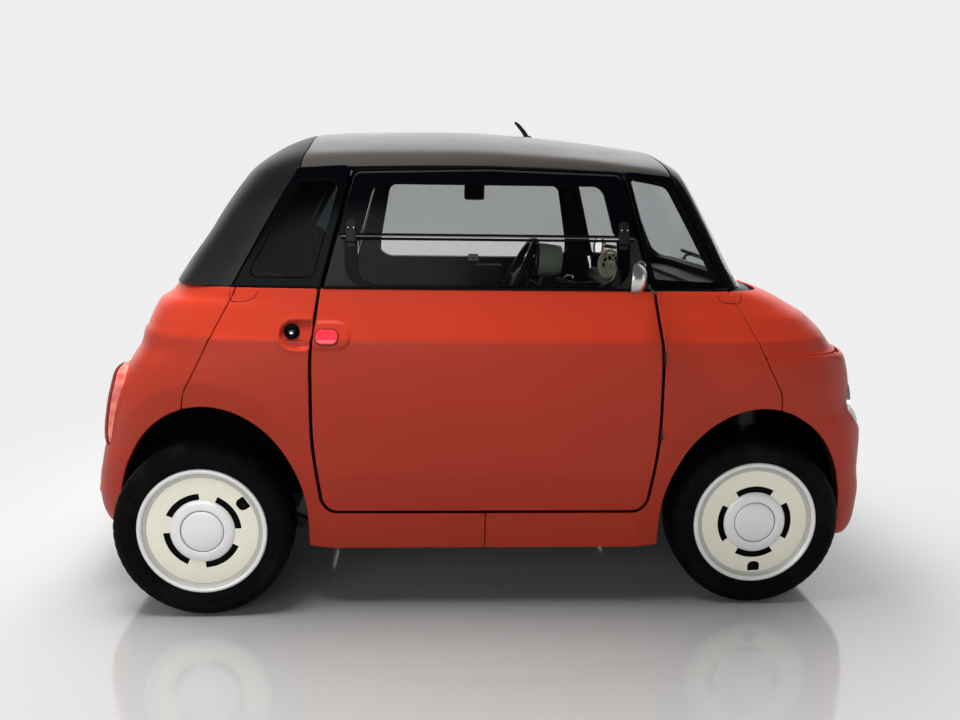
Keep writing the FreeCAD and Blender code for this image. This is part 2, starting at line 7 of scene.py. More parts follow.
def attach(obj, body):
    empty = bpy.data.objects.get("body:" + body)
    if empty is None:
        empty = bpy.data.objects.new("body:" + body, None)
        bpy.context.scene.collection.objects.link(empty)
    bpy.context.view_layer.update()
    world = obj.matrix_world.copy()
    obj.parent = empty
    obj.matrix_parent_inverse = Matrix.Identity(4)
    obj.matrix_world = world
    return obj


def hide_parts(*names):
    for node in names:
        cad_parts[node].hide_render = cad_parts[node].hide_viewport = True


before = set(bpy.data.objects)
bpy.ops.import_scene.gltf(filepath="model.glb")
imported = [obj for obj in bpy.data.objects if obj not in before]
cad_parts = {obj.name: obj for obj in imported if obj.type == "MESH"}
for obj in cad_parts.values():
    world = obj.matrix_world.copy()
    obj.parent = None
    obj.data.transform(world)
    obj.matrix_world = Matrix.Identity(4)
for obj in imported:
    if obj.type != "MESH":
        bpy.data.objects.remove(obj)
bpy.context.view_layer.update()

scene = bpy.context.scene
scene.view_settings.view_transform = "Standard"

# ------------------------------------------------------------------ camera
YAW, PITCH, ROLL = 0.04658, 0.18251, 0.01346
fwd = Vector((math.sin(YAW) * math.cos(PITCH), math.cos(YAW) * math.cos(PITCH), -math.sin(PITCH)))
right = Vector((math.cos(YAW), -math.sin(YAW), 0.0))
up = right.cross(fwd)
rr = math.cos(ROLL) * right + math.sin(ROLL) * up
uu = -math.sin(ROLL) * right + math.cos(ROLL) * up
cam_data = bpy.data.cameras.new("camera")
cam_data.sensor_width = 36.0
cam_data.lens = 35.64
cam = bpy.data.objects.new("camera", cam_data)
rot = Matrix((rr, uu, -fwd)).transposed()
cam.matrix_world = Matrix.Translation((-0.1541, -3.4613, 1.3217)) @ rot.to_4x4()
scene.collection.objects.link(cam)
scene.camera = cam

# ------------------------------------------------------------------ materials
MATS = {}


def nodes_of(name):
    m = bpy.data.materials.new(name)
    m.use_nodes = True
    nt = m.node_tree
    nt.nodes.clear()
    out = nt.nodes.new("ShaderNodeOutputMaterial")
    MATS[name] = m
    return m, nt, out


def coords(nt):
    return nt.nodes.new("ShaderNodeTexCoord").outputs["Object"]


def noise(nt, scale, detail=3.0, rough=0.5, vec=None):
    n = nt.nodes.new("ShaderNodeTexNoise")
    n.inputs["Scale"].default_value = scale
    n.inputs["Detail"].default_value = detail
    n.inputs["Roughness"].default_value = rough
    nt.links.new(vec if vec is not None else coords(nt), n.inputs["Vector"])
    return n.outputs["Fac"]


def ramp(nt, fac, lo, hi, a, b):
    r = nt.nodes.new("ShaderNodeMapRange")
    r.inputs["From Min"].default_value = lo
    r.inputs["From Max"].default_value = hi
    r.inputs["To Min"].default_value = a
    r.inputs["To Max"].default_value = b
    nt.links.new(fac, r.inputs["Value"])
    return r.outputs["Result"]


def mix_col(nt, fac, a, b):
    m = nt.nodes.new("ShaderNodeMix")
    m.data_type = "RGBA"
    if isinstance(fac, float):
        m.inputs[0].default_value = fac
    else:
        nt.links.new(fac, m.inputs[0])
    for sock, v in ((m.inputs[6], a), (m.inputs[7], b)):
        if isinstance(v, tuple):
            sock.default_value = v + (1.0,)
        else:
            nt.links.new(v, sock)
    return m.outputs[2]


def surface(name, base, rough, metallic=0.0, var=0.06, vscale=6.0, rvar=0.06, bump=0.0, bscale=400.0,
            spec=0.5, coat=0.0, coat_rough=0.1, sheen=0.0, weave=None, dust=None):
    """a Principled surface whose colour, roughness and relief vary procedurally."""
    m, nt, out = nodes_of(name)
    b = nt.nodes.new("ShaderNodeBsdfPrincipled")
    nt.links.new(b.outputs[0], out.inputs[0])
    b.inputs["Metallic"].default_value = metallic
    b.inputs["Specular IOR Level"].default_value = spec
    b.inputs["Coat Weight"].default_value = coat
    b.inputs["Coat Roughness"].default_value = coat_rough
    b.inputs["Sheen Weight"].default_value = sheen
    vec = coords(nt)
    f = noise(nt, vscale, 4.0, 0.55, vec)
    lo = tuple(c * (1 - var) for c in base)
    hi = tuple(min(1.0, c * (1 + var)) for c in base)
    col = mix_col(nt, ramp(nt, f, 0.3, 0.7, 0.0, 1.0), lo, hi)
    if dust:
        g = noise(nt, dust[1], 6.0, 0.65, vec)
        col = mix_col(nt, ramp(nt, g, 0.5, 0.75, 0.0, dust[2]), col, dust[0])
    f2 = noise(nt, vscale * 3.1, 5.0, 0.6, vec)
    nt.links.new(ramp(nt, f2, 0.3, 0.7, max(0.0, rough - rvar), rough + rvar), b.inputs["Roughness"])
    if weave:
        wv = nt.nodes.new("ShaderNodeTexWave")
        wv.bands_direction = "X"
        wv.inputs["Scale"].default_value = weave
        wv.inputs["Distortion"].default_value = 0.6
        wv.inputs["Detail"].default_value = 1.0
        nt.links.new(vec, wv.inputs["Vector"])
        wz = nt.nodes.new("ShaderNodeTexWave")
        wz.bands_direction = "Z"
        wz.inputs["Scale"].default_value = weave
        wz.inputs["Distortion"].default_value = 0.6
        wz.inputs["Detail"].default_value = 1.0
        nt.links.new(vec, wz.inputs["Vector"])
        wy = nt.nodes.new("ShaderNodeTexWave")
        wy.bands_direction = "Y"
        wy.inputs["Scale"].default_value = weave
        wy.inputs["Distortion"].default_value = 0.6
        nt.links.new(vec, wy.inputs["Vector"])
        mx = nt.nodes.new("ShaderNodeMath")
        mx.operation = "MAXIMUM"
        nt.links.new(wv.outputs["Fac"], mx.inputs[0])
        nt.links.new(wz.outputs["Fac"], mx.inputs[1])
        my = nt.nodes.new("ShaderNodeMath")
        my.operation = "MULTIPLY"
        nt.links.new(mx.outputs[0], my.inputs[0])
        nt.links.new(wy.outputs["Fac"], my.inputs[1])
        col = mix_col(nt, ramp(nt, my.outputs[0], 0.0, 1.0, 0.45, 0.0), col, tuple(c * 0.35 for c in base))
        bp = nt.nodes.new("ShaderNodeBump")
        bp.inputs["Strength"].default_value = 0.5
        bp.inputs["Distance"].default_value = 0.0006
        nt.links.new(my.outputs[0], bp.inputs["Height"])
        nt.links.new(bp.outputs[0], b.inputs["Normal"])
    elif bump:
        bp = nt.nodes.new("ShaderNodeBump")
        bp.inputs["Strength"].default_value = bump
        bp.inputs["Distance"].default_value = 0.001
        nt.links.new(noise(nt, bscale, 3.0, 0.6, vec), bp.inputs["Height"])
        nt.links.new(bp.outputs[0], b.inputs["Normal"])
    nt.links.new(col, b.inputs["Base Color"])
    return m


def glass(name, tint, rough=0.01, gloss=1.0):
    """thin pane: a tinted film that lets light straight through, with a Fresnel gloss."""
    m, nt, out = nodes_of(name)
    tr = nt.nodes.new("ShaderNodeBsdfTransparent")
    vec = coords(nt)
    f = noise(nt, 3.0, 2.0, 0.5, vec)
    lo = tuple(c * 0.992 for c in tint)
    nt.links.new(mix_col(nt, ramp(nt, f, 0.3, 0.7, 0.0, 1.0), lo, tint), tr.inputs["Color"])
    gl = nt.nodes.new("ShaderNodeBsdfGlossy")
    gl.inputs["Roughness"].default_value = rough
    gl.inputs["Color"].default_value = (0.8, 0.8, 0.8, 1)
    fr = nt.nodes.new("ShaderNodeFresnel")
    fr.inputs["IOR"].default_value = 1.3
    mx = nt.nodes.new("ShaderNodeMixShader")
    nt.links.new(ramp(nt, fr.outputs[0], 0.0, 1.0, 0.0, gloss), mx.inputs[0])
    nt.links.new(tr.outputs[0], mx.inputs[1])
    nt.links.new(gl.outputs[0], mx.inputs[2])
    nt.links.new(mx.outputs[0], out.inputs[0])
    return m


def emissive(name, base, glow, strength, rough=0.2, vscale=60.0):
    """a coloured lens that glows a little: a painted glow standing in for scattered light, mottled like moulded optics.
    """
    m, nt, out = nodes_of(name)
    b = nt.nodes.new("ShaderNodeBsdfPrincipled")
    nt.links.new(b.outputs[0], out.inputs[0])
    vec = coords(nt)
    vo = nt.nodes.new("ShaderNodeTexVoronoi")
    vo.inputs["Scale"].default_value = vscale
    nt.links.new(vec, vo.inputs["Vector"])
    col = mix_col(nt, ramp(nt, vo.outputs["Distance"], 0.0, 0.8, 0.0, 1.0), base, glow)
    nt.links.new(col, b.inputs["Base Color"])
    nt.links.new(col, b.inputs["Emission Color"])
    b.inputs["Emission Strength"].default_value = strength
    b.inputs["Coat Weight"].default_value = 0.6
    b.inputs["Coat Roughness"].default_value = 0.05
    nt.links.new(ramp(nt, vo.outputs["Distance"], 0.0, 0.8, rough, rough + 0.15), b.inputs["Roughness"])
    bp = nt.nodes.new("ShaderNodeBump")
    bp.inputs["Strength"].default_value = 0.25
    bp.inputs["Distance"].default_value = 0.001
    nt.links.new(vo.outputs["Distance"], bp.inputs["Height"])
    nt.links.new(bp.outputs[0], b.inputs["Normal"])
    return m


CORAL = (0.405, 0.0290, 0.0098)
surface("paint", CORAL, 0.46, var=0.03, vscale=2.2, rvar=0.03, bump=0.04, bscale=900.0, spec=0.20, coat=0.14, coat_rough=0.34)
# side walls of the coral panels: the coral darkened almost to black, painted shade in the panel gaps
surface("paint_gap_shade", (0.020, 0.0050, 0.0040), 0.60, var=0.08, vscale=9.0, bump=0.05, bscale=700.0, spec=0.06)
surface("panel_inner", (0.0060, 0.0062, 0.0065), 0.70, var=0.12, vscale=14.0, bump=0.25, bscale=520.0, spec=0.12)
surface("roof", (0.0190, 0.0165, 0.0145), 0.34, var=0.05, vscale=2.0, rvar=0.03, bump=0.04, bscale=900.0, spec=1.0)
surface("cap", (0.0026, 0.0026, 0.0025), 0.46, var=0.08, vscale=3.0, rvar=0.04, bump=0.08, bscale=800.0, spec=0.42)
surface("gloss_black", (0.0008, 0.0012, 0.0020), 0.14, var=0.10, vscale=3.0, rvar=0.02, spec=0.05)
surface("frame_grey", (0.0165, 0.0190, 0.0175), 0.45, var=0.06, vscale=6.0, rvar=0.03, bump=0.06, bscale=800.0, spec=0.12)
surface("black_trim", (0.0042, 0.0042, 0.0046), 0.45, var=0.12, vscale=20.0, bump=0.10, bscale=700.0, spec=0.25)
surface("dark_void", (0.0012, 0.0012, 0.0013), 0.85, var=0.2, vscale=9.0, bump=0.10, bscale=160.0, spec=0.05)
surface("rubber", (0.0014, 0.0014, 0.0015), 0.62, var=0.16, vscale=26.0, rvar=0.08, bump=0.12, bscale=650.0, spec=0.07,
        dust=((0.030, 0.029, 0.027), 9.0, 0.22))
surface("seal", (0.0016, 0.0016, 0.0018), 0.65, var=0.15, vscale=30.0, bump=0.08, bscale=500.0, spec=0.12)
surface("cream", (0.955, 0.925, 0.770), 0.26, var=0.012, vscale=8.0, rvar=0.02, bump=0.0, spec=0.5, coat=0.4)
surface("silver", (0.900, 0.900, 0.885), 0.36, metallic=0.25, var=0.015, vscale=12.0, rvar=0.02, bump=0.0)
surface("hub_silver", (0.900, 0.900, 0.890), 0.36, metallic=0.30, var=0.015, vscale=14.0, rvar=0.02, bump=0.0)
surface("chrome", (0.72, 0.71, 0.69), 0.12, metallic=1.0, var=0.03, vscale=10.0, rvar=0.03)
surface("steel", (0.012, 0.012, 0.013), 0.45, metallic=0.5, var=0.18, vscale=22.0, bump=0.3, bscale=240.0,
        dust=((0.060, 0.050, 0.042), 12.0, 0.35))
surface("aluminium", (0.42, 0.42, 0.43), 0.42, metallic=0.9, var=0.08, vscale=18.0, bump=0.2, bscale=260.0)
surface("interior_dark", (0.0062, 0.0072, 0.0070), 0.55, var=0.12, vscale=10.0, bump=0.22, bscale=480.0, spec=0.2)
surface("interior_panel", (0.020, 0.023, 0.0215), 0.50, var=0.08, vscale=5.0, bump=0.18, bscale=420.0, spec=0.25)
surface("interior_light", (0.47, 0.52, 0.43), 0.42, var=0.04, vscale=12.0, bump=0.08, bscale=520.0)
surface("ivory", (0.92, 0.88, 0.62), 0.34, var=0.03, vscale=14.0, bump=0.05, bscale=520.0)
surface("fabric", (0.020, 0.021, 0.023), 0.85, var=0.10, vscale=30.0, spec=0.15, sheen=0.12, weave=110.0)
surface("seam_thread", (0.16, 0.15, 0.13), 0.7, var=0.15, vscale=300.0, bump=0.3, bscale=1500.0)
surface("carpet", (0.016, 0.016, 0.017), 0.95, var=0.25, vscale=120.0, bump=0.9, bscale=1400.0, spec=0.15, sheen=0.2)
surface("plate_white", (0.62, 0.62, 0.60), 0.35, var=0.02, vscale=20.0, bump=0.04, bscale=900.0)
surface("hub_line", (0.05, 0.05, 0.05), 0.5, var=0.1, vscale=40.0)
# dark grey for the ring in the groove between disc and lip: painted shade in the groove
surface("groove_grey", (0.10, 0.10, 0.095), 0.5, var=0.05, vscale=40.0)
# a darker copy of the silver, for the ring over the lip's inner slope: painted shade
surface("step_silver", (0.56, 0.545, 0.50), 0.34, metallic=0.35, var=0.03, vscale=14.0, rvar=0.02)
surface("satin_chrome", (0.62, 0.60, 0.57), 0.27, metallic=1.0, var=0.03, vscale=10.0, rvar=0.03)
surface("rod_metal", (0.32, 0.32, 0.31), 0.30, metallic=1.0, var=0.05, vscale=14.0, rvar=0.03)
# near-black red for thin tubes along pressed lines and round the door button: painted shade in creases
surface("crease_shade_line", (0.050, 0.008, 0.006), 0.6, var=0.2, vscale=60.0, spec=0.2)
surface("amber", (0.75, 0.26, 0.03), 0.22, var=0.08, vscale=60.0, bump=0.1, bscale=400.0, coat=0.4)
surface("lamp_bowl", (0.75, 0.75, 0.76), 0.16, metallic=0.9, var=0.04, vscale=30.0, bump=0.05, bscale=300.0)
# the unlit tail lamp walls, backs and reflectors glow: painted glow for light scattered in the red plastic
emissive("lens_red", (0.62, 0.060, 0.050), (0.90, 0.26, 0.20), 0.10, vscale=36.0)
# the door button glows though it is no lamp: its mottled glow is painted highlights
emissive("button_pink", (0.66, 0.006, 0.020), (0.88, 0.030, 0.055), 0.24, vscale=210.0)
glass("pane", (0.675, 0.685, 0.688), rough=.17, gloss=.30)
glass("pane_quarter", (0.820, 0.832, 0.836), rough=.17, gloss=.30)
glass("pane_light", (0.868, 0.873, 0.868), rough=.17, gloss=.30)
glass("pane_dark", (0.36, 0.39, 0.40), rough=.17, gloss=.30)
glass("lens_clear", (0.97, 0.97, 0.97), rough=.09, gloss=.6)
glass("pane_screen", (0.790, 0.80, 0.805), rough=.17, gloss=.30)
glass("tail_glass", (0.96, 0.60, 0.57), rough=.05, gloss=.8)

# ------------------------------------------------------------------ numbers


def pchip(xs, ys):
    """monotone cubic through a table, straight beyond its ends."""
    x, y = np.array(xs, float), np.array(ys, float)
    h, d = np.diff(x), np.diff(y) / np.diff(x)
    m = np.zeros(len(x))
    m[0], m[-1] = d[0], d[-1]
    for i in range(1, len(x) - 1):
        if d[i - 1] * d[i] > 0:
            w1, w2 = 2 * h[i] + h[i - 1], h[i] + 2 * h[i - 1]
            m[i] = (w1 + w2) / (w1 / d[i - 1] + w2 / d[i])

    def f(v):
        v = np.asarray(v, float)
        i = np.clip(np.searchsorted(x, v) - 1, 0, len(h) - 1)
        t = (v - x[i]) / h[i]
        s = (2 * t ** 3 - 3 * t ** 2 + 1) * y[i] + (t ** 3 - 2 * t ** 2 + t) * h[i] * m[i] \
            + (-2 * t ** 3 + 3 * t ** 2) * y[i + 1] + (t ** 3 - t ** 2) * h[i] * m[i + 1]
        s = np.where(v < x[0], y[0] + (v - x[0]) * m[0], s)
        return np.where(v > x[-1], y[-1] + (v - x[-1]) * m[-1], s)
    return f


def sstep(a, b, v):
    t = np.clip((np.asarray(v, float) - a) / (b - a), 0, 1)
    return t * t * (3 - 2 * t)


NF, NR, NG = 6.5, 5.5, 7.0
Z_W = [.19, .200, .26, .335, .440, .456, .52, .62, .70, .78, .845, .866, .874, .92, .96, .985, 1.000, 1.012, 1.03]
V_W = [.633, .636, .649, .663, .6835, .6862, .6905, .6970, .7000, .6992, .6965, .6945, .6905, .669, .6515, .6420, .6372, .633, .626]
W_ = pchip(Z_W, V_W)
LF_ = pchip([.19, .200, .225, .26, .335, .43, .458, .51, .552, .603, .634, .664, .728, .764, .788, .804, .815, .822, .832, .848, .882, .907, .929, .957, .987, 1.006, 1.012, 1.03],
            [1.235, 1.250, 1.264, 1.271, 1.273, 1.258, 1.256, 1.255, 1.252, 1.239, 1.217, 1.204, 1.196, 1.188, 1.181, 1.174, 1.163, 1.146, 1.130, 1.117, 1.092, 1.067, 1.043, .994, .940, .895, .876, .82])
LR_ = pchip([.19, .200, .225, .25, .293, .335, .377, .432, .471, .516, .555, .618, .655, .70, .767, .828, .852, .868, .880, .889, .926, .963, .972, .982, 1.012, 1.03],
            [1.18, 1.205, 1.235, 1.256, 1.268, 1.270, 1.265, 1.252, 1.243, 1.228, 1.219, 1.203, 1.190, 1.170, 1.138, 1.100, 1.094, 1.090, 1.080, 1.077, 1.062, 1.038, 1.019, 1.006, .982, .95])
UZ = [.98, 1.005, 1.070, 1.120, 1.180, 1.260, 1.330, 1.372, 1.415, 1.520]
UW_ = pchip(UZ, [.617, .614, .606, .598, .589, .575, .560, .550, .540, .515])
UF_ = pchip(UZ, [.856, .837, .797, .770, .738, .694, .654, .626, .592, .520])
UR_ = pchip(UZ, [.998, .986, .945, .912, .869, .820, .776, .749, .703, .600])
RX = [-1.020, -.900, -.820, -.760, -.698, -.640, -.560, -.430, -.250, -.080, .081, .291, .505, .647, .760, .900]
RZ_ = pchip(RX, [1.250, 1.325, 1.384, 1.428, 1.459, 1.473, 1.483, 1.492, 1.497, 1.499, 1.492, 1.474, 1.449, 1.427, 1.408, 1.385])
RD_ = pchip(RX, [.112] * 10 + [.108, .098, .088, .085, .085, .085])


def low_y(x, z):
    x, z = np.asarray(x, float), np.asarray(z, float)
    f = np.abs(x) / np.where(x >= 0, LF_(z), LR_(z))
    n = np.where(x >= 0, NF, NR)
    return W_(z) * np.power(np.clip(1 - np.power(np.clip(f, 0, 0.9995), n), 1e-9, 1), 1 / n)


def up_y(x, z):
    x, z = np.asarray(x, float), np.asarray(z, float)
    f = np.abs(x) / np.where(x >= 0, UF_(z), UR_(z))
    return UW_(z) * np.power(np.clip(1 - np.power(np.clip(f, 0, 0.9995), NG), 1e-9, 1), 1 / NG)


def plan_r(th, w, l, n):
    c, s = np.abs(np.cos(th)), np.abs(np.sin(th))
    return np.power(np.power(c / l, n) + np.power(s / w, n), -1 / n)


# relief of the lower body, along its normal: wheel arch bands, latch recess, pads
ARX, ARZ, AX, AZ = .302, .377, .850, .280


def arch_d(x, z, cx):
    dx, dz = (x - cx), (z - AZ)
    q = np.sqrt((dx / ARX) ** 2 + (dz / ARZ) ** 2)
    rl = np.hypot(dx, dz) / np.maximum(q, 1e-6)
    d = (q - 1) * rl
    return np.where(dz < 0, np.abs(dx) - ARX, d)


def stadium(x, z, x0, x1, zc, r):
    dx = np.maximum(np.maximum(x0 - x, x - x1), 0)
    return np.hypot(dx, z - zc) - r


def low_relief(P):
    x, y, z = P[:, 0], P[:, 1], P[:, 2]
    side = sstep(.44, .60, np.abs(y))
    d = np.minimum(arch_d(x, z, AX), arch_d(x, z, -AX))
    out = -.0135 * np.clip(1 - d / .072, 0, 1) * side
    xs = np.where(y < 0, x, -x)                     # latch end of each door
    rec = stadium(xs, z, -.5735, -.40, .880, .0435)
    body = sstep(-.521, -.527, xs)
    out = out - .013 * sstep(.002, -.011, rec) * body
    rim = np.exp(-(np.maximum(rec, 0) / .012) ** 2) * .0018 * body * (rec > -.002)
    out = out + rim
    pad = stadium(xs, z, -.60, -.447, .8785, .041)
    door = sstep(-.527, -.520, xs)
    out = out + .0042 * sstep(.004, -.010, pad) * door
    return out


def low_side(sg):
    def m(p, q):
        return np.stack([p, sg * low_y(p, q), q], 1)
    return m


def up_side(sg):
    def m(p, q):
        return np.stack([p, sg * up_y(p, q), q], 1)
    return m


_th = np.linspace(-1.25, 1.25, 2001)
_arc = {}
for _k, _l, _n in (("F", 1.22, NF), ("R", 1.20, NR)):
    _r = plan_r(_th, .695, _l, _n)
    _x, _y = _r * np.cos(_th), _r * np.sin(_th)
    _s = np.concatenate([[0], np.cumsum(np.hypot(np.diff(_x), np.diff(_y)))])
    _arc[_k] = _s - _s[1000]


def low_wrap(end):
    """the nose (F) or the tail (R): p runs round the plan from the right side to the left."""
    sx = 1 if end == "F" else -1
    L, n = (LF_, NF) if end == "F" else (LR_, NR)

    def m(p, q):
        th = np.interp(p, _arc[end], _th)
        r = plan_r(th, W_(q), L(q), n)
        return np.stack([sx * r * np.cos(th), r * np.sin(th), q], 1)
    return m


def wrap_u(end, x, y):
    th = np.arctan2(y, np.abs(x))
    return np.interp(th, _th, _arc[end])


def side_to_wrap(end, pts, sg):
    p = np.array(pts, float)
    y = sg * low_y(p[:, 0], p[:, 1])
    return np.stack([wrap_u(end, p[:, 0], y), p[:, 1]], 1)


def up_wrap_f(p, q):
    """front of the upper cabin: p is the plan angle times 0.75 m."""
    th = np.asarray(p) / .75
    r = plan_r(th, UW_(q), UF_(q), NG)
    return np.stack([r * np.cos(th), r * np.sin(th), q], 1)


def f_upper(P, k=.085):
    """about how far a point lies outside the upper cabin, with a soft edge between sides and roof."""
    x, y, z = P[:, 0], P[:, 1], P[:, 2]
    k = k - (k - .042) * sstep(.30, .56, x)
    zz = np.clip(z, .98, 1.52)
    L = np.where(x >= 0, UF_(zz), UR_(zz))
    W = UW_(zz)
    c, s = np.abs(x) / L, np.abs(y) / W
    q = np.power(np.power(c, NG) + np.power(s, NG) + 1e-12, 1 / NG)
    gx = np.power(c / q, NG - 1) / L
    gy = np.power(s / q, NG - 1) / W
    dz = .02
    L2 = np.where(x >= 0, UF_(zz + dz), UR_(zz + dz))
    W2 = UW_(zz + dz)
    q2 = np.power(np.power(np.abs(x) / L2, NG) + np.power(np.abs(y) / W2, NG) + 1e-12, 1 / NG)
    gz = (q2 - q) / dz
    a = (q - 1) / np.sqrt(gx ** 2 + gy ** 2 + gz ** 2)
    yy = np.minimum(np.abs(y), .64)
    zr = RZ_(x) - RD_(x) * np.power(yy / .545, 2.3)
    sx = (RZ_(x + .01) - RZ_(x - .01)) / .02
    sy = RD_(x) * 2.3 / .545 * np.power(yy / .545, 1.3)
    b = (z - zr) / np.sqrt(1 + sx ** 2 + sy ** 2)
    h = np.clip(.5 + .5 * (a - b) / k, 0, 1)
    return a * h + b * (1 - h) + k * h * (1 - h)


def cast(o, d, lo=.02, hi=1.4, k=.085):
    """where rays from inside meet the upper cabin."""
    lo = np.full(len(d), lo)
    hi = np.full(len(d), hi)
    for _ in range(26):
        mid = (lo + hi) / 2
        out = f_upper(o + d * mid[:, None], k) > 0
        hi = np.where(out, mid, hi)
        lo = np.where(out, lo, mid)
    return o + d * ((lo + hi) / 2)[:, None]


CAP_C = np.array([-.40, 0.0, 1.013])


def cap_map(p, q):
    """p, q are latitude and longitude about the cap's centre, times half a metre."""
    mu, la = np.asarray(p) / .5, np.asarray(q) / .5
    d = np.stack([-np.cos(mu) * np.cos(la), np.sin(mu), np.cos(mu) * np.sin(la)], 1)
    return cast(np.tile(CAP_C, (len(d), 1)), d)


def cap_uv(P):
    v = np.atleast_2d(P) - CAP_C
    mu = np.arctan2(v[:, 1], np.hypot(v[:, 0], v[:, 2]))
    la = np.arctan2(v[:, 2], -v[:, 0])
    return np.stack([mu * .5, la * .5], 1)


def roof_map(p, q):
    """p is x, q the angle across the roof times 0.42 m."""
    b = np.asarray(q) / .42
    o = np.stack([np.asarray(p), np.zeros(len(b)), np.full(len(b), 1.20)], 1)
    d = np.stack([np.zeros(len(b)), np.sin(b), np.cos(b)], 1)
    return cast(o, d)


# ------------------------------------------------------------------ outlines


def rounded(pts, arc=6):
    """closed outline through (a, b, radius) corners, as dense points."""
    out = []
    n = len(pts)
    for i in range(n):
        a0, b0, _ = pts[i - 1]
        a1, b1, r = pts[i]
        a2, b2, _ = pts[(i + 1) % n]
        u = np.array([a0 - a1, b0 - b1])
        w = np.array([a2 - a1, b2 - b1])
        lu, lw = np.hypot(*u), np.hypot(*w)
        u, w = u / lu, w / lw
        half = math.acos(max(-1, min(1, float(u @ w)))) / 2
        if r <= 0 or abs(math.pi / 2 - half) < 1e-3:
            out.append((a1, b1))
            continue
        d = min(r / math.tan(half), .48 * lu, .48 * lw)
        r = d * math.tan(half)
        bis = (u + w) / np.hypot(*(u + w))
        c = np.array([a1, b1]) + bis * r / math.sin(half)
        p0, p1 = np.array([a1, b1]) + u * d, np.array([a1, b1]) + w * d
        t0 = math.atan2(*(p0 - c)[::-1])
        t1 = math.atan2(*(p1 - c)[::-1])
        dt = (t1 - t0 + math.pi) % (2 * math.pi) - math.pi
        k = max(2, int(abs(dt) * arc / 1.2) + 2)
        for j in range(k + 1):
            t = t0 + dt * j / k
            out.append((c[0] + r * math.cos(t), c[1] + r * math.sin(t)))
    return np.array(out)


def area(l):
    x, y = l[:, 0], l[:, 1]
    return .5 * float(np.sum(x * np.roll(y, -1) - np.roll(x, -1) * y))


def ccw(l):
    l = np.array(l, float)
    return l if area(l) > 0 else l[::-1]


def resample(l, step, closed=True):
    """even steps along each run, keeping the points it has."""
    l = np.array(l, float)
    out = []
    n = len(l)
    for i in range(n if closed else n - 1):
        a, b = l[i], l[(i + 1) % n]
        k = max(1, int(math.ceil(np.hypot(*(b - a)) / step)))
        for j in range(k):
            out.append(a + (b - a) * j / k)
    if not closed:
        out.append(l[-1])
    out = np.array(out)
    keep = [0]
    for i in range(1, len(out)):
        if np.hypot(*(out[i] - out[keep[-1]])) > step * .22:
            keep.append(i)
    if closed and np.hypot(*(out[keep[-1]] - out[0])) < step * .22:
        keep = keep[:-1]
    return out[keep]


def loop_normals(l):
    """outward unit normals of a counter-clockwise loop."""
    a = l - np.roll(l, 1, 0)
    b = np.roll(l, -1, 0) - l
    a = a / np.maximum(np.hypot(a[:, 0], a[:, 1])[:, None], 1e-12)
    b = b / np.maximum(np.hypot(b[:, 0], b[:, 1])[:, None], 1e-12)
    t = a + b
    n = np.stack([t[:, 1], -t[:, 0]], 1)
    ln = np.maximum(np.hypot(n[:, 0], n[:, 1]), 1e-9)
    n = n / ln[:, None]
    cosh = np.clip((a * np.stack([-n[:, 1], n[:, 0]], 1)).sum(1), .5, 1)
    return n, 1 / cosh


def offset(l, d):
    """move a counter-clockwise loop outwards by d."""
    n, k = loop_normals(l)
    return l + n * (d * k)[:, None]


def inside(pts, loop):
    x, y = pts[:, 0], pts[:, 1]
    c = np.zeros(len(pts), bool)
    x0, y0 = loop[:, 0], loop[:, 1]
    x1, y1 = np.roll(x0, -1), np.roll(y0, -1)
    for a, b, e, f in zip(x0, y0, x1, y1):
        if b == f:
            continue
        hit = ((b > y) != (f > y)) & (x < (e - a) * (y - b) / (f - b) + a)
        c ^= hit
    return c


def near(pts, loop, d):
    """points closer than d to the loop's points."""
    out = np.zeros(len(pts), bool)
    for i in range(0, len(pts), 4000):
        q = pts[i:i + 4000]
        dd = ((q[:, None, :] - loop[None]) ** 2).sum(2).min(1)
        out[i:i + 4000] = dd < d * d
    return out


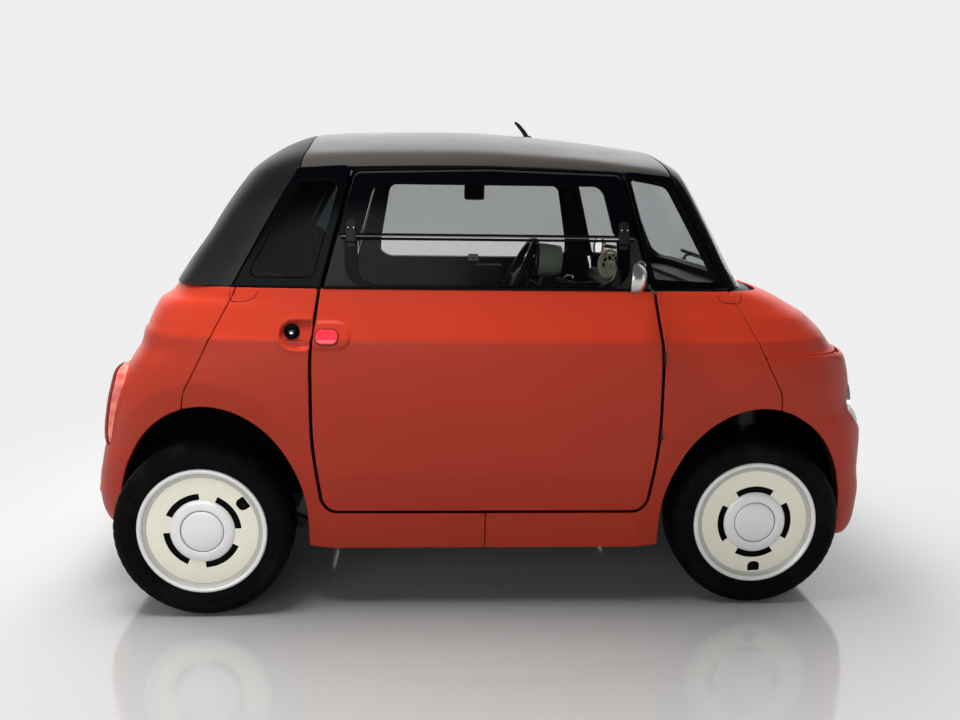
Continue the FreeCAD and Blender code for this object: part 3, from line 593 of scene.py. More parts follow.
def fill(outer, holes, step, refine=()):
    """triangles inside a loop, clear of its holes; loop points keep their order at the front."""
    loops = [outer] + list(holes)
    lo, hi = outer.min(0), outer.max(0)
    grids = [(lo, hi, step)] + [(np.array(r[:2]), np.array(r[2:4]), r[4]) for r in refine]
    pts = []
    for gi, (a, b, h) in enumerate(grids):
        nx, ny = int((b[0] - a[0]) / h) + 1, int((b[1] - a[1]) / (h * .866)) + 1
        gx, gy = np.meshgrid(np.arange(nx + 1), np.arange(ny + 1))
        g = np.stack([a[0] + (gx + .5 * (gy % 2)) * h, a[1] + gy * h * .866], 2).reshape(-1, 2)
        for (a2, b2, h2) in grids[gi + 1:]:
            g = g[~((g[:, 0] > a2[0] - h2 * .4) & (g[:, 0] < b2[0] + h2 * .4) & (g[:, 1] > a2[1] - h2 * .4) & (g[:, 1] < b2[1] + h2 * .4))]
        if gi:
            g = g[(g[:, 0] <= b[0]) & (g[:, 1] <= b[1])]
        g = g[inside(g, outer)]
        for hl in holes:
            g = g[~inside(g, hl)]
        for l in loops:
            if len(g):
                g = g[~near(g, l, h * .55)]
        pts.append(g)
    allp = np.concatenate(loops + pts)
    edges = []
    o = 0
    for l in loops:
        edges += [(o + i, o + (i + 1) % len(l)) for i in range(len(l))]
        o += len(l)
    res = geometry.delaunay_2d_cdt([Vector(p) for p in allp.tolist()], edges, [], 0, 1e-9, True)
    V2 = np.array([tuple(v) for v in res[0]])
    F = np.array([f for f in res[2] if len(f) == 3], int)
    back = {}
    for i, src in enumerate(res[3]):
        for s in src:
            back[s] = i
    idx = [np.array([back[i] for i in range(s, s + len(l))]) for s, l in
           zip(np.cumsum([0] + [len(l) for l in loops[:-1]]), loops)]
    c = V2[F].mean(1)
    ok = inside(c, outer)
    for hl in holes:
        ok &= ~inside(c, hl)
    F = F[ok]
    e1, e2 = V2[F[:, 1]] - V2[F[:, 0]], V2[F[:, 2]] - V2[F[:, 0]]
    ar = e1[:, 0] * e2[:, 1] - e1[:, 1] * e2[:, 0]
    F = F[np.abs(ar) > 1e-14]
    ar = ar[np.abs(ar) > 1e-14]
    F[ar < 0] = F[ar < 0][:, ::-1]
    used = np.unique(F)
    remap = -np.ones(len(V2), int)
    remap[used] = np.arange(len(used))
    for i in idx:
        if (remap[i] < 0).any() or len(np.unique(i)) != len(i):
            bad = V2[i[remap[i] < 0]]
            raise ValueError("outline crosses itself or a hole near %s" % bad[:4])
    return V2[used], remap[F], [remap[i] for i in idx]


def frame_at(M, relief, uv, ref):
    """position and outward normal of a mapped surface with its relief."""
    e = 4e-4

    def base(a):
        return M(a[:, 0], a[:, 1])

    def nrm(fn, a):
        dp = fn(a + [e, 0]) - fn(a - [e, 0])
        dq = fn(a + [0, e]) - fn(a - [0, e])
        n = np.cross(dp, dq)
        n /= np.maximum(np.linalg.norm(n, axis=1), 1e-12)[:, None]
        return n
    P = base(uv)
    N0 = nrm(base, uv)
    sgn = 1.0 if float(np.mean(np.sum(N0 * (P - ref), 1))) > 0 else -1.0
    if relief is None:
        return P, N0 * sgn, sgn

    def full(a):
        return base(a) + nrm(base, a) * (sgn * relief(base(a)))[:, None]
    return full(uv), nrm(full, uv) * sgn, sgn


def make_mesh(name, verts, tris, cn, mi, mats):
    """a mesh from triangles with a normal per corner."""
    me = bpy.data.meshes.new(name)
    me.from_pydata([tuple(v) for v in verts.tolist()], [], [tuple(t) for t in tris.tolist()])
    for m in mats:
        me.materials.append(MATS[m])
    me.polygons.foreach_set("material_index", np.asarray(mi, np.int32))
    me.polygons.foreach_set("use_smooth", np.ones(len(tris), bool))
    me.normals_split_custom_set([tuple(v) for v in cn.reshape(-1, 3).tolist()])
    me.update()
    ob = bpy.data.objects.new(name, me)
    scene.collection.objects.link(ob)
    return ob


def panel(name, M, outer, holes=(), t=.02, r=.003, step=.013, relief=None, ref=(0, 0, .7), mats=("paint", "paint_gap_shade", "panel_inner"),
          refine=(), turn=None, lift=0.0, body="body", in_step=None, soft=None):
    """a closed sheet over a mapped surface, with rounded outer edges, a side wall and an inner face."""
    ref = np.array(ref, float)
    outer = ccw(outer)
    holes = [ccw(h) for h in holes]
    o_in = offset(outer, -r)
    h_in = [offset(h, r) for h in holes]
    V2, F, idx = fill(o_in, h_in, step, refine)
    P, N, sgn = frame_at(M, relief, V2, ref)
    if lift:
        P = P + N * lift
    nv = len(P)
    verts, tris, cns, mis = [P], [], [], []
    tri_n = np.cross(P[F[:, 1]] - P[F[:, 0]], P[F[:, 2]] - P[F[:, 0]])
    if float(np.sum(tri_n * N[F[:, 0]])) < 0:
        F = F[:, ::-1]
        flip = True
    else:
        flip = False
    tris.append(F)
    cns.append(N[F])
    mis.append(np.zeros(len(F), int))
    total = nv
    wall_idx = []
    steps = [(30, 1), (60, 1), (90, 1)] if r > .0021 else [(45, 1), (90, 1)]
    for li, ids in enumerate(idx):
        Pb, Nb = P[ids], N[ids]
        tg = np.roll(Pb, -1, 0) - np.roll(Pb, 1, 0)
        tg /= np.maximum(np.linalg.norm(tg, axis=1), 1e-12)[:, None]
        T = np.cross(tg, Nb)
        T /= np.maximum(np.linalg.norm(T, axis=1), 1e-12)[:, None]
        # outwards in the domain for the outer loop, into the hole for a hole
        loop2 = V2[ids]
        n2, kk = loop_normals(loop2)
        e = 1e-3
        probe, _, _ = frame_at(M, relief, loop2 + n2 * e * (1 if li == 0 else -1), ref)
        base_p, _, _ = frame_at(M, relief, loop2, ref)
        if float(np.sum((probe - base_p) * T)) < 0:
            T = -T
        kk = np.minimum(kk, 1.35)[:, None]
        prev = ids
        prevN = Nb
        m = len(ids)
        cw = (li == 0) != flip
        rings = []
        for deg, _ in steps:
            a = math.radians(deg)
            Q = Pb + T * kk * r * math.sin(a) - Nb * r * (1 - math.cos(a))
            NQ = Nb * math.cos(a) + T * math.sin(a)
            rings.append((Q, NQ, 0))
        Qw = Pb + T * kk * r - Nb * t
        rings.append((Qw, T, 1))
        for Q, NQ, mt in rings:
            ids2 = np.arange(total, total + m)
            verts.append(Q)
            total += m
            a0, a1 = prev, np.roll(prev, -1)
            b0, b1 = ids2, np.roll(ids2, -1)
            nA0, nA1, nB0, nB1 = prevN, np.roll(prevN, -1, 0), NQ, np.roll(NQ, -1, 0)
            if mt == 1:
                nA0, nA1 = T, np.roll(T, -1, 0)
            if cw:
                tr = np.concatenate([np.stack([a0, b0, b1], 1), np.stack([a0, b1, a1], 1)])
                cn = np.concatenate([np.stack([nA0, nB0, nB1], 1), np.stack([nA0, nB1, nA1], 1)])
            else:
                tr = np.concatenate([np.stack([a0, b1, b0], 1), np.stack([a0, a1, b1], 1)])
                cn = np.concatenate([np.stack([nA0, nB1, nB0], 1), np.stack([nA0, nA1, nB1], 1)])
            tris.append(tr)
            cns.append(cn)
            mis.append(np.full(len(tr), mt))
            prev, prevN = ids2, NQ
        wall_idx.append((ids2, Qw))
    # inner face on its own, coarser points; its rims are the walls' last rings
    V3, F3, idx3 = fill(o_in, h_in, in_step or step * 2.2, ())
    P3, N3, _ = frame_at(M, relief, V3, ref)
    if lift:
        P3 = P3 + N3 * lift
    Pi = P3 - N3 * t
    remap = np.arange(len(V3)) + total
    for (ids2, Qw), i3 in zip(wall_idx, idx3):
        remap[i3] = ids2
    keep = np.ones(len(V3), bool)
    for i3 in idx3:
        keep[i3] = False
    new = np.where(keep)[0]
    remap[new] = total + np.arange(len(new))
    verts.append(Pi[new])
    total += len(new)
    F3m = remap[F3]
    F3m = F3m[:, ::-1] if not flip else F3m
    nn = -N3[F3][:, ::-1] if not flip else -N3[F3]
    tris.append(F3m)
    cns.append(nn)
    mis.append(np.full(len(F3m), 2))
    verts = np.concatenate(verts)
    tris = np.concatenate(tris)
    cns = np.concatenate(cns)
    mis = np.concatenate(mis)
    if soft is not None:
        verts = soft(verts)
    if turn == "half":
        verts = verts * [-1, -1, 1]
        cns = cns * [-1, -1, 1]
    elif turn == "mirror":
        verts = verts * [1, -1, 1]
        cns = cns * [1, -1, 1]
        tris = tris[:, ::-1]
        cns = cns[:, ::-1]
    ml = list(mats) + [mats[-1]] * (3 - len(mats))
    ob = make_mesh(name, verts, tris, cns, mis, ml)
    if body:
        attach(ob, body)
    return ob


def tube_mesh(name, pts, rad, mat, seg=10, closed=False, body="body", caps=True, radii=None, ups=None, squashed=1.0):
    """a tube along a line of points, closed at its ends."""
    P = np.array(pts, float)
    n = len(P)
    if closed:
        tg = np.roll(P, -1, 0) - np.roll(P, 1, 0)
    else:
        tg = np.gradient(P, axis=0)
    tg /= np.maximum(np.linalg.norm(tg, axis=1), 1e-12)[:, None]
    u = np.array(ups if ups is not None else (0, 0, 1), float)
    if abs(float(u @ tg[0])) > .95 and ups is None:
        u = np.array([1.0, 0, 0])
    fr = []
    for i in range(n):
        a = u - tg[i] * float(u @ tg[i])
        a /= max(np.linalg.norm(a), 1e-9)
        fr.append((a, np.cross(tg[i], a)))
        if ups is None:
            u = a
    if closed and ups is None:
        # spread the leftover twist over the loop
        a_end = fr[-1][0] - tg[0] * float(fr[-1][0] @ tg[0])
        a_end /= np.linalg.norm(a_end)
        ang = math.atan2(float(np.cross(a_end, fr[0][0]) @ tg[0]), float(a_end @ fr[0][0]))
        for i in range(n):
            w = ang * i / n
            a, b = fr[i]
            fr[i] = (a * math.cos(w) + b * math.sin(w), -a * math.sin(w) + b * math.cos(w))
    verts, cn = [], []
    for i in range(n):
        rad_i = rad if radii is None else radii[i]
        for j in range(seg):
            t = 2 * math.pi * j / seg
            d = fr[i][0] * math.cos(t) * squashed + fr[i][1] * math.sin(t)
            verts.append(P[i] + d * rad_i)
            cn.append(fr[i][0] * math.cos(t) / max(squashed, .05) + fr[i][1] * math.sin(t))
    cn = [c / np.linalg.norm(c) for c in cn]
    tris, cs = [], []
    for i in range(n if closed else n - 1):
        k = (i + 1) % n
        for j in range(seg):
            j2 = (j + 1) % seg
            a, b, c, d = i * seg + j, i * seg + j2, k * seg + j2, k * seg + j
            tris += [(a, b, c), (a, c, d)]
            cs += [(cn[a], cn[b], cn[c]), (cn[a], cn[c], cn[d])]
    if not closed and caps:
        for end, i, sg in ((0, 0, -1), (1, n - 1, 1)):
            verts.append(P[i] + tg[i] * sg * (rad if radii is None else radii[i]) * .35)
            c0 = len(verts) - 1
            for j in range(seg):
                j2 = (j + 1) % seg
                a, b = i * seg + j, i * seg + j2
                t = (c0, b, a) if sg < 0 else (c0, a, b)
                tris.append(t)
                nn = tg[i] * sg
                e1, e2 = cn[t[1]] * .5 + nn, cn[t[2]] * .5 + nn
                cs.append((nn, e1 / np.linalg.norm(e1), e2 / np.linalg.norm(e2)))
    ob = make_mesh(name, np.array(verts), np.array(tris, int), np.array(cs), np.zeros(len(tris), int), [mat])
    if body:
        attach(ob, body)
    return ob


def revolve(name, prof, mats, seg, place, body, closed=False, wave=None, sharp=40.0, shift=None):
    """turn a closed (r, t) outline about an axis; place maps local (x, z, t) to the car. mats: list of (name) per profile run or one."""
    pr = np.array(prof, float)
    n = len(pr)
    ang = np.linspace(0, 2 * math.pi, seg, endpoint=False)
    verts = np.zeros((seg, n, 3))
    for i, a in enumerate(ang):
        p = pr if wave is None else wave(pr, a, i)
        verts[i, :, 0] = p[:, 0] * math.cos(a)
        verts[i, :, 1] = p[:, 0] * math.sin(a)
        verts[i, :, 2] = p[:, 1]
    e = np.roll(pr, -1, 0) - pr
    ln = np.maximum(np.hypot(e[:, 0], e[:, 1]), 1e-9)
    en = np.stack([e[:, 1], -e[:, 0]], 1) / ln[:, None]
    if area(pr) < 0:
        en = -en
    cosl = math.cos(math.radians(sharp))
    tris, cs, mi = [], [], []
    flat = verts.reshape(-1, 3)
    names = [mats] * n if isinstance(mats, str) else mats
    uniq = sorted(set(names), key=names.index)

    def n3(v, a):
        return np.array([v[0] * math.cos(a), v[0] * math.sin(a), v[1]])
    for k in range(n):
        k2 = (k + 1) % n
        na = en[k] + en[k - 1] if en[k] @ en[k - 1] > cosl else en[k]
        nb = en[k] + en[k2] if en[k] @ en[k2] > cosl else en[k]
        na = na / np.linalg.norm(na)
        nb = nb / np.linalg.norm(nb)
        r0, r1 = pr[k, 0], pr[k2, 0]
        for i in range(seg):
            i2 = (i + 1) % seg
            a0, a1 = ang[i], ang[i2]
            A, B, C, D = i * n + k, i2 * n + k, i2 * n + k2, i * n + k2
            nA, nB, nC, nD = n3(na, a0), n3(na, a1), n3(nb, a1), n3(nb, a0)
            if r0 > 1e-7:
                tris.append((A, B, C) if r1 > 1e-7 else (A, B, D))
                cs.append((nA, nB, nC))
                mi.append(uniq.index(names[k]))
            if r1 > 1e-7:
                tris.append((A, C, D))
                cs.append((nA, nC, nD))
                mi.append(uniq.index(names[k]))
    tris = np.array(tris, int)
    cs = np.array(cs)
    # one vertex for each point on the axis
    remap = np.arange(len(flat))
    for k in range(n):
        if pr[k, 0] <= 1e-7:
            remap[np.arange(seg) * n + k] = k
    tris = remap[tris]
    fn = np.cross(flat[tris[:, 1]] - flat[tris[:, 0]], flat[tris[:, 2]] - flat[tris[:, 0]])
    bad = np.sum(fn * cs.mean(1), 1) < 0
    if bad.mean() > .5:
        tris = tris[:, ::-1]
        cs = cs[:, ::-1]
    used = np.unique(tris)
    rm = -np.ones(len(flat), int)
    rm[used] = np.arange(len(used))
    tris = rm[tris]
    flat = flat[used]
    W, R = place
    vv = flat @ R.T + W
    cc = cs @ np.linalg.inv(R)
    cc = cc / np.maximum(np.linalg.norm(cc, axis=2), 1e-9)[:, :, None]
    if np.linalg.det(R) < 0:
        tris = tris[:, ::-1]
        cc = cc[:, ::-1]
    ob = make_mesh(name, vv, tris, cc, mi, uniq)
    if body:
        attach(ob, body)
    return ob


def soft_box(name, lo, hi, r, mat, body="body", shape=None, seg=3, sub=0, turnm=None, taper=None):
    """a block with rounded edges, optionally bent or tapered."""
    me = bpy.data.meshes.new(name)
    import bmesh
    bm = bmesh.new()
    bmesh.ops.create_cube(bm, size=1.0)
    lo, hi = Vector(lo), Vector(hi)
    for v in bm.verts:
        v.co = Vector((lo[i] + (hi[i] - lo[i]) * (v.co[i] + .5) for i in range(3)))
        if taper:
            v.co = Vector(taper(v.co))
    bmesh.ops.bevel(bm, geom=list(bm.edges), offset=r, segments=seg, profile=.5, affect="EDGES", clamp_overlap=True)
    if shape:
        bmesh.ops.subdivide_edges(bm, edges=list(bm.edges), cuts=2, use_grid_fill=True)
        for v in bm.verts:
            v.co = Vector(shape(v.co))
    if turnm is not None:
        bmesh.ops.transform(bm, matrix=turnm, verts=bm.verts)
    bmesh.ops.triangulate(bm, faces=bm.faces)
    bmesh.ops.recalc_face_normals(bm, faces=bm.faces)
    bm.to_mesh(me)
    bm.free()
    me.materials.append(MATS[mat])
    for p in me.polygons:
        p.use_smooth = True
    ob = bpy.data.objects.new(name, me)
    scene.collection.objects.link(ob)
    md = ob.modifiers.new("normals", "WEIGHTED_NORMAL")
    md.keep_sharp = False
    if body:
        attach(ob, body)
    return ob


def axes(origin, normal, xdir):
    """placement with local t along normal and local x along xdir."""
    n = np.array(normal, float)
    n /= np.linalg.norm(n)
    x = np.array(xdir, float)
    x = x - n * float(x @ n)
    x /= np.linalg.norm(x)
    z = np.cross(n, x)
    return np.array(origin, float), np.stack([x, z, n], 1)


# ------------------------------------------------------------------ lower body
SEAM_F = [(.739, 1.013), (.739, 1.003), (.783, .934), (.861, .775), (.900, .704), (.908, .655)]
SEAM_R = [(-.755, 1.013), (-.755, 1.003), (-.795, .923), (-.880, .753), (-.911, .698), (-.922, .646)]
TOP = 1.0125


def poly_x(seam, z):
    """x of a seam line at height z."""
    s = sorted(((b, a) for a, b in seam))
    return float(np.interp(z, [q[0] for q in s], [q[1] for q in s]))


def arch_pts(cx, a0, a1, k=26):
    return [(cx + ARX * math.cos(t), AZ + ARZ * math.sin(t)) for t in np.linspace(a0, a1, k)]


DOOR = rounded([(-.4965, .3305, .050), (-.5225, .560, .9), (-.5225, .820, .7), (-.4990, TOP, .004), (.4990, TOP, .004),
                (.5225, .820, .7), (.5225, .560, .9), (.4965, .3305, .050)], 10)
HOLE = [(-.5055, .3215, .057), (-.5315, .560, .9), (-.5315, .820, .7), (-.5075, TOP, 0), (.5075, TOP, 0),
        (.5315, .820, .7), (.5315, .560, .9), (.5055, .3215, .057)]
hole_pts = rounded(HOLE, 10)
hole_r = hole_pts[hole_pts[:, 0] < 0]
hole_f = hole_pts[hole_pts[:, 0] > 0]


def side_outline(end):
    """outline of the panel between the door and the nose or tail seam, down to the sill's middle."""
    sx = 1 if end == "F" else -1
    g = .0009
    if end == "F":
        seam, hp = SEAM_F, hole_f
    else:
        seam, hp = SEAM_R, hole_r
    pts = []
    # from the middle of the sill, up along the door hole
    hp = hp[np.argsort(hp[:, 1])]
    pts.append((sx * g, .200))
    pts.append((sx * g, .3215))
    edge = [tuple(p) for p in hp if p[1] > .3216]
    low = [p for p in edge]
    pts += low
    pts.append((sx * .5075, TOP))
    x_top = poly_x(seam, TOP) - sx * .0012
    pts.append((x_top, TOP))
    for z in np.linspace(.995, .66, 20):
        pts.append((poly_x(seam, z) - sx * .0012, z))
    # meeting the arch, then down it
    xs = poly_x(seam, .655) - sx * .0012
    t0 = math.acos(max(-1, min(1, (xs * sx - AX) / ARX)))
    for p in arch_pts(0, t0, math.pi, 30):
        pts.append((sx * (AX + p[0]), p[1]))
    pts.append((sx * (AX - ARX), .200))
    out = [pts[0]]
    for p in pts[1:]:
        if math.hypot(p[0] - out[-1][0], p[1] - out[-1][1]) > .002:
            out.append(p)
    return np.array(out)


def corner_round(l, r=.004, sharp=25.0):
    """replace each sharp corner of a dense outline with a small arc."""
    l = np.array(l, float)
    n = len(l)
    tri = []
    for i in range(n):
        a, b, c = l[i - 1], l[i], l[(i + 1) % n]
        u, w = b - a, c - b
        ang = math.degrees(abs(math.atan2(u[0] * w[1] - u[1] * w[0], float(u @ w))))
        tri.append((b[0], b[1], r if ang > sharp else 0.0))
    return rounded(tri, 6)


def spaced(l, step=.012):
    return resample(l, step)


# the second material, on each panel's side wall, is painted shade for the gaps
LOWMATS = ("paint", "paint_gap_shade", "panel_inner")
made = {}
for end, nm in (("F", "front"), ("R", "rear")):
    ol = spaced(corner_round(side_outline(end), .006))
    for sg, sd in ((-1, "right"), (1, "left")):
        has_recess = (end == "R" and sg < 0) or (end == "F" and sg > 0)
        rf = ()
        if has_recess:
            rf = ((-.635, .825, -.52, .935, .004),) if end == "R" else ((.52, .825, .635, .935, .004),)
        ob = panel("side_%s_%s_skin" % (nm, sd), low_side(sg), ol, t=.044, r=.0035, step=.014, relief=low_relief,
                   mats=LOWMATS, refine=rf)
        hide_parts("side_%s_%s" % (nm, sd))
        made["side_%s_%s" % (nm, sd)] = ob

BREAK = .818
# nose panel below the break line, with its lamp openings
LAMP_Y, LAMP_Z, LAMP_R = .500, .640, .076


def clip_outline(end, z_top, z_seam_top):
    sx = 1 if end == "F" else -1
    seam = SEAM_F if end == "F" else SEAM_R
    g = .0012
    side = []
    for z in np.linspace(z_seam_top, .66, 16):
        side.append((poly_x(seam, z) + sx * g, z))
    xs = poly_x(seam, .655) + sx * g
    t0 = math.acos(max(-1, min(1, (xs * sx - AX) / ARX)))
    for p in arch_pts(0, t0, 0.0, 26):
        side.append((sx * (AX + p[0]), p[1]))
    side.append((sx * (AX + ARX), .240))
    side.append((sx * (AX + ARX), .2005))
    a = side_to_wrap(end, side, -1)
    b = side_to_wrap(end, side[::-1], 1)
    return np.concatenate([a, b])


nose_ol = spaced(corner_round(clip_outline("F", BREAK - .0012, BREAK - .0012), .006), .014)
lamp_holes = []
for s in (-1, 1):
    ring = []
    for k in range(40):
        t = 2 * math.pi * k / 40
        y, z = s * LAMP_Y + (LAMP_R + .003) * math.cos(t), LAMP_Z + (LAMP_R + .003) * math.sin(t)
        x = LF_(z) * (1 - abs(y / W_(z)) ** NF) ** (1 / NF)
        ring.append((float(wrap_u("F", np.array(x), np.array(y))), z))
    lamp_holes.append(np.array(ring))
ob = panel("nose_skin", low_wrap("F"), nose_ol, holes=lamp_holes, t=.030, r=.0035, step=.015, relief=low_relief, mats=LOWMATS)
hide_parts("nose_panel")

# bonnet above the break line
hs = [(poly_x(SEAM_F, z) + .0012, z) for z in np.linspace(TOP, BREAK + .0014, 18)]
ha = side_to_wrap("F", hs, -1)
hb = side_to_wrap("F", hs[::-1], 1)
hood_ol = spaced(corner_round(np.concatenate([ha, hb]), .006), .013)
ob = panel("hood_skin", low_wrap("F"), hood_ol, t=.024, r=.0045, step=.014, relief=low_relief, mats=LOWMATS)
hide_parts("hood")

tail_ol = spaced(corner_round(clip_outline("R", TOP, TOP), .006), .014)
ob = panel("tail_skin", low_wrap("R"), tail_ol, t=.030, r=.004, step=.015, relief=low_relief, mats=LOWMATS)
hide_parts("rear_clip")

# doors
door_ol = spaced(DOOR, .012)
for sd, turn in (("right", None), ("left", "half")):
    ob = panel("door_%s_skin" % sd, low_side(-1), door_ol, t=.044, r=.0035, step=.014, relief=low_relief, mats=LOWMATS,
               refine=((-.519, .825, -.39, .930, .005),), turn=turn, body="door_" + sd)
    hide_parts("door_panel_" + sd)


def on_low(x, z, sg=-1, out=0.0):
    """a point on the lower skin, and its normal."""
    P, N, _ = frame_at(low_side(sg), low_relief, np.array([[x, z]], float), np.array([0, 0, .7]))
    return P[0] + N[0] * out, N[0]


def surf_line(pts, M, out=0.0, relief=low_relief, ref=(0, 0, .7)):
    P, N, _ = frame_at(M, relief, np.array(pts, float), np.array(ref, float))
    return P + N * out


# the bonnet's break line is a closed joint along the wings
for sgn in (-1, 1):
    uu = np.linspace(min(abs(float(ha[-1][0])), abs(float(hb[0][0]))) - .004, .600, 60) * sgn
    P, N, _ = frame_at(low_wrap("F"), low_relief, np.stack([uu, np.full(60, BREAK)], 1), np.array([0, 0, .7]))
    keep = np.abs(P[:, 1]) > .560
    if keep.sum() > 4:
        o = tube_mesh("wing_joint_%s" % ("right" if sgn < 0 else "left"), (P - N * .0034)[keep], .0036, "paint", seg=8)

# ------------------------------------------------------------------ upper cabin
DOOR_UP = [(-.4925, 1.0135, .004), (-.3995, 1.3555, .026), (0, 1.3665, 0), (.3995, 1.3555, .026), (.4925, 1.0135, .004)]
UP_HOLE = [(-.5025, 1.0135), (-.4105, 1.3605), (-.3985, 1.3690), (0, 1.3755)]
PANE = [(-.4050, 1.0250, .066), (-.4000, 1.190, 0), (-.3600, 1.3280, .040), (.3600, 1.3280, .040), (.4000, 1.190, 0), (.4050, 1.0250, .066)]
UREF = (0, 0, 1.2)
UPM = ("gloss_black", "black_trim", "interior_dark")


def gutter(x):
    return float(np.interp(x, [-.605, -.565, -.416, -.20, 0, .20, .40, .538, .585, .64], [1.3645, 1.3675, 1.3765, 1.3820, 1.3835, 1.3795, 1.3690, 1.3565, 1.3500, 1.3430]))


def upper_part(name, ol, holes, t, sd, body, mats, replaces=(), lift=0.0, r=.0025, step=.016, turn=None):
    ob = panel(name, up_side(-1), ol, holes=holes, t=t, r=r, step=step, ref=UREF, mats=mats, turn=turn, lift=lift, body=body)
    if replaces:
        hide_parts(*replaces)
    return ob


ROD_Z = 1.165
frame_ol = spaced(rounded(DOOR_UP, 8), .012)
pane_ol = spaced(rounded(PANE, 10), .012)
for sd, turn in (("right", None), ("left", "half")):
    b = "door_" + sd
    upper_part("door_frame_%s_skin" % sd, frame_ol, [spaced(offset(ccw(pane_ol), .002), .012)], .027, sd, b,
               ("frame_grey", "black_trim", "interior_dark"), ("door_frame_" + sd,), turn=turn)
    # printed border of the fixed pane, which covers the frame above the rod, and that of the flap below it
    up_out = [(-.4500, ROD_Z + .0035, .003), (-.3985, 1.3500, .024), (0, 1.3610, 0), (.3985, 1.3500, .024), (.4500, ROD_Z + .0035, .003)]
    clear_up = [(-.3835, ROD_Z + .0100, .004), (-.3770, 1.184, 0), (-.3405, 1.3205, .034), (.3405, 1.3205, .034), (.3770, 1.184, 0), (.3835, ROD_Z + .0100, .004)]
    if sd == "left":
        one_out = [(-.4300, 1.0165, .078), (-.4285, ROD_Z, 0), (-.3985, 1.3500, .024), (0, 1.3610, 0), (.3985, 1.3500, .024), (.4285, ROD_Z, 0), (.4300, 1.0165, .078)]
        one_clear = [(-.3910, 1.0225, .060), (-.3880, 1.1000, 0), (-.3470, 1.3205, .034), (.3470, 1.3205, .034), (.3880, 1.1000, 0), (.3910, 1.0225, .060)]
        upper_part("pane_border_left", spaced(rounded(one_out, 9), .011), [spaced(rounded(one_clear, 9), .011)], .0085, sd, b,
                   ("gloss_black", "gloss_black", "gloss_black"), turn=turn, lift=.0030, r=.0015)
        gl1 = [(a * .998, c + (.0006 if c < 1.15 else -.0006), r) for a, c, r in one_clear]
        o1 = upper_part("pane_glass_left", spaced(rounded(gl1, 9), .014), [], .0045, sd, b, ("pane_light", "pane_light", "pane_light"),
                        turn=turn, lift=-.0005, r=.0008, step=.03)
        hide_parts("door_glass_left")
        continue
    upper_part("pane_border_%s" % sd, spaced(rounded(up_out, 8), .012), [spaced(rounded(clear_up, 8), .012)], .0085, sd, b,
               ("gloss_black", "gloss_black", "gloss_black"), turn=turn, lift=.0030, r=.0015)
    fl_out = [(-.4300, 1.0165, .078), (-.4285, ROD_Z - .0045, .004), (.4285, ROD_Z - .0045, .004), (.4300, 1.0165, .078)]
    clear_fl = [(-.3910, 1.0225, .060), (-.3890, ROD_Z - .0100, .004), (.3890, ROD_Z - .0100, .004), (.3910, 1.0225, .060)]
    upper_part("flap_border_%s" % sd, spaced(rounded(fl_out, 10), .009), [spaced(rounded(clear_fl, 10), .009)], .0085, sd, b,
               ("gloss_black", "gloss_black", "gloss_black"), turn=turn, lift=.0045, r=.0015)
    g1 = [(a * .998, c + (.0006 if c < 1.3 else -.0006), r) for a, c, r in clear_up]
    g2 = [(a * .998, c + (.0006 if c < 1.1 else -.0006), r) for a, c, r in clear_fl]
    o1 = upper_part("pane_glass_%s" % sd, spaced(rounded(g1, 8), .014), [], .0045, sd, b, ("pane", "pane", "pane"),
                    turn=turn, lift=-.0005, r=.0008, step=.03)
    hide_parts("door_glass_" + sd)
    upper_part("flap_glass_%s" % sd, spaced(rounded(g2, 8), .014), [], .0045, sd, b, ("pane_light", "pane_light", "pane_light"),
               turn=turn, lift=.0012, r=.0008, step=.03)

# rear quarter: black surround between the door and the cap
rq = [(-.5040, 1.0135), (-.4975, 1.0380), (-.4130, 1.3560), (-.4080, 1.3640)]
rq_ol = rq + [(x, gutter(x) - .0005) for x in (-.43, -.48, -.53, -.5700)] + [(-.5765, 1.3570), (-.7650, 1.0135)]
fq = [(.5040, 1.0135), (.4975, 1.0380), (.4130, 1.3560), (.4080, 1.3600)]


def pillar_x(z):
    """front edge of the side surround: a line a little behind the screen's corner."""
    return .634 + (1.242 - np.asarray(z, float)) * .580


zt = gutter(.572)
fq_ol = fq + [(x, gutter(x) - .0005) for x in (.43, .50, .54)] + [(float(pillar_x(z)) - .001, z) for z in np.linspace(zt - .001, 1.0135, 16)]
QF = [(.508, 1.046, .016), (.692, 1.036, .012), (.7165, 1.044, .012), (.560, 1.329, .040), (.4300, 1.3480, .012), (.4650, 1.216, 0)]
QR = [(-.725, 1.042, .020), (-.565, 1.326, .024), (-.446, 1.330, .024), (-.524, 1.042, .020)]
for sd, turn in (("right", None), ("left", "mirror")):
    rep = ("pillars_" + sd,)
    upper_part("rear_quarter_surround_" + sd, spaced(corner_round(ccw(rq_ol), .004), .012), [spaced(rounded(QR, 8), .012)], .026, sd, "body",
               UPM, rep, turn=turn)
    upper_part("front_quarter_surround_" + sd, spaced(corner_round(ccw(fq_ol), .004), .012), [spaced(rounded(QF, 8), .012)], .026, sd, "body",
               UPM, rep, turn=turn)
    o = upper_part("rear_quarter_pane_" + sd, spaced(offset(ccw(rounded(QR, 8)), -.001), .014), [], .0045, sd, "body",
                   ("pane_dark", "pane_dark", "pane_dark"), turn=turn, lift=-.0015, r=.0008, step=.03)
    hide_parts("quarter_glasses")
    upper_part("front_quarter_pane_" + sd, spaced(offset(ccw(rounded(QF, 8)), -.001), .014), [], .0045, sd, "body",
               (("pane_quarter",) if sd == "right" else ("pane_light",)) * 3, turn=turn, lift=-.0015, r=.0008, step=.03)

# windscreen: black surround that wraps from pillar to pillar, and its pane
XF = .600


def ws_edge(z, sg):
    x = float(pillar_x(z)) + .001
    y = sg * float(up_y(x, z))
    return (math.atan2(y, x) * .75, z)


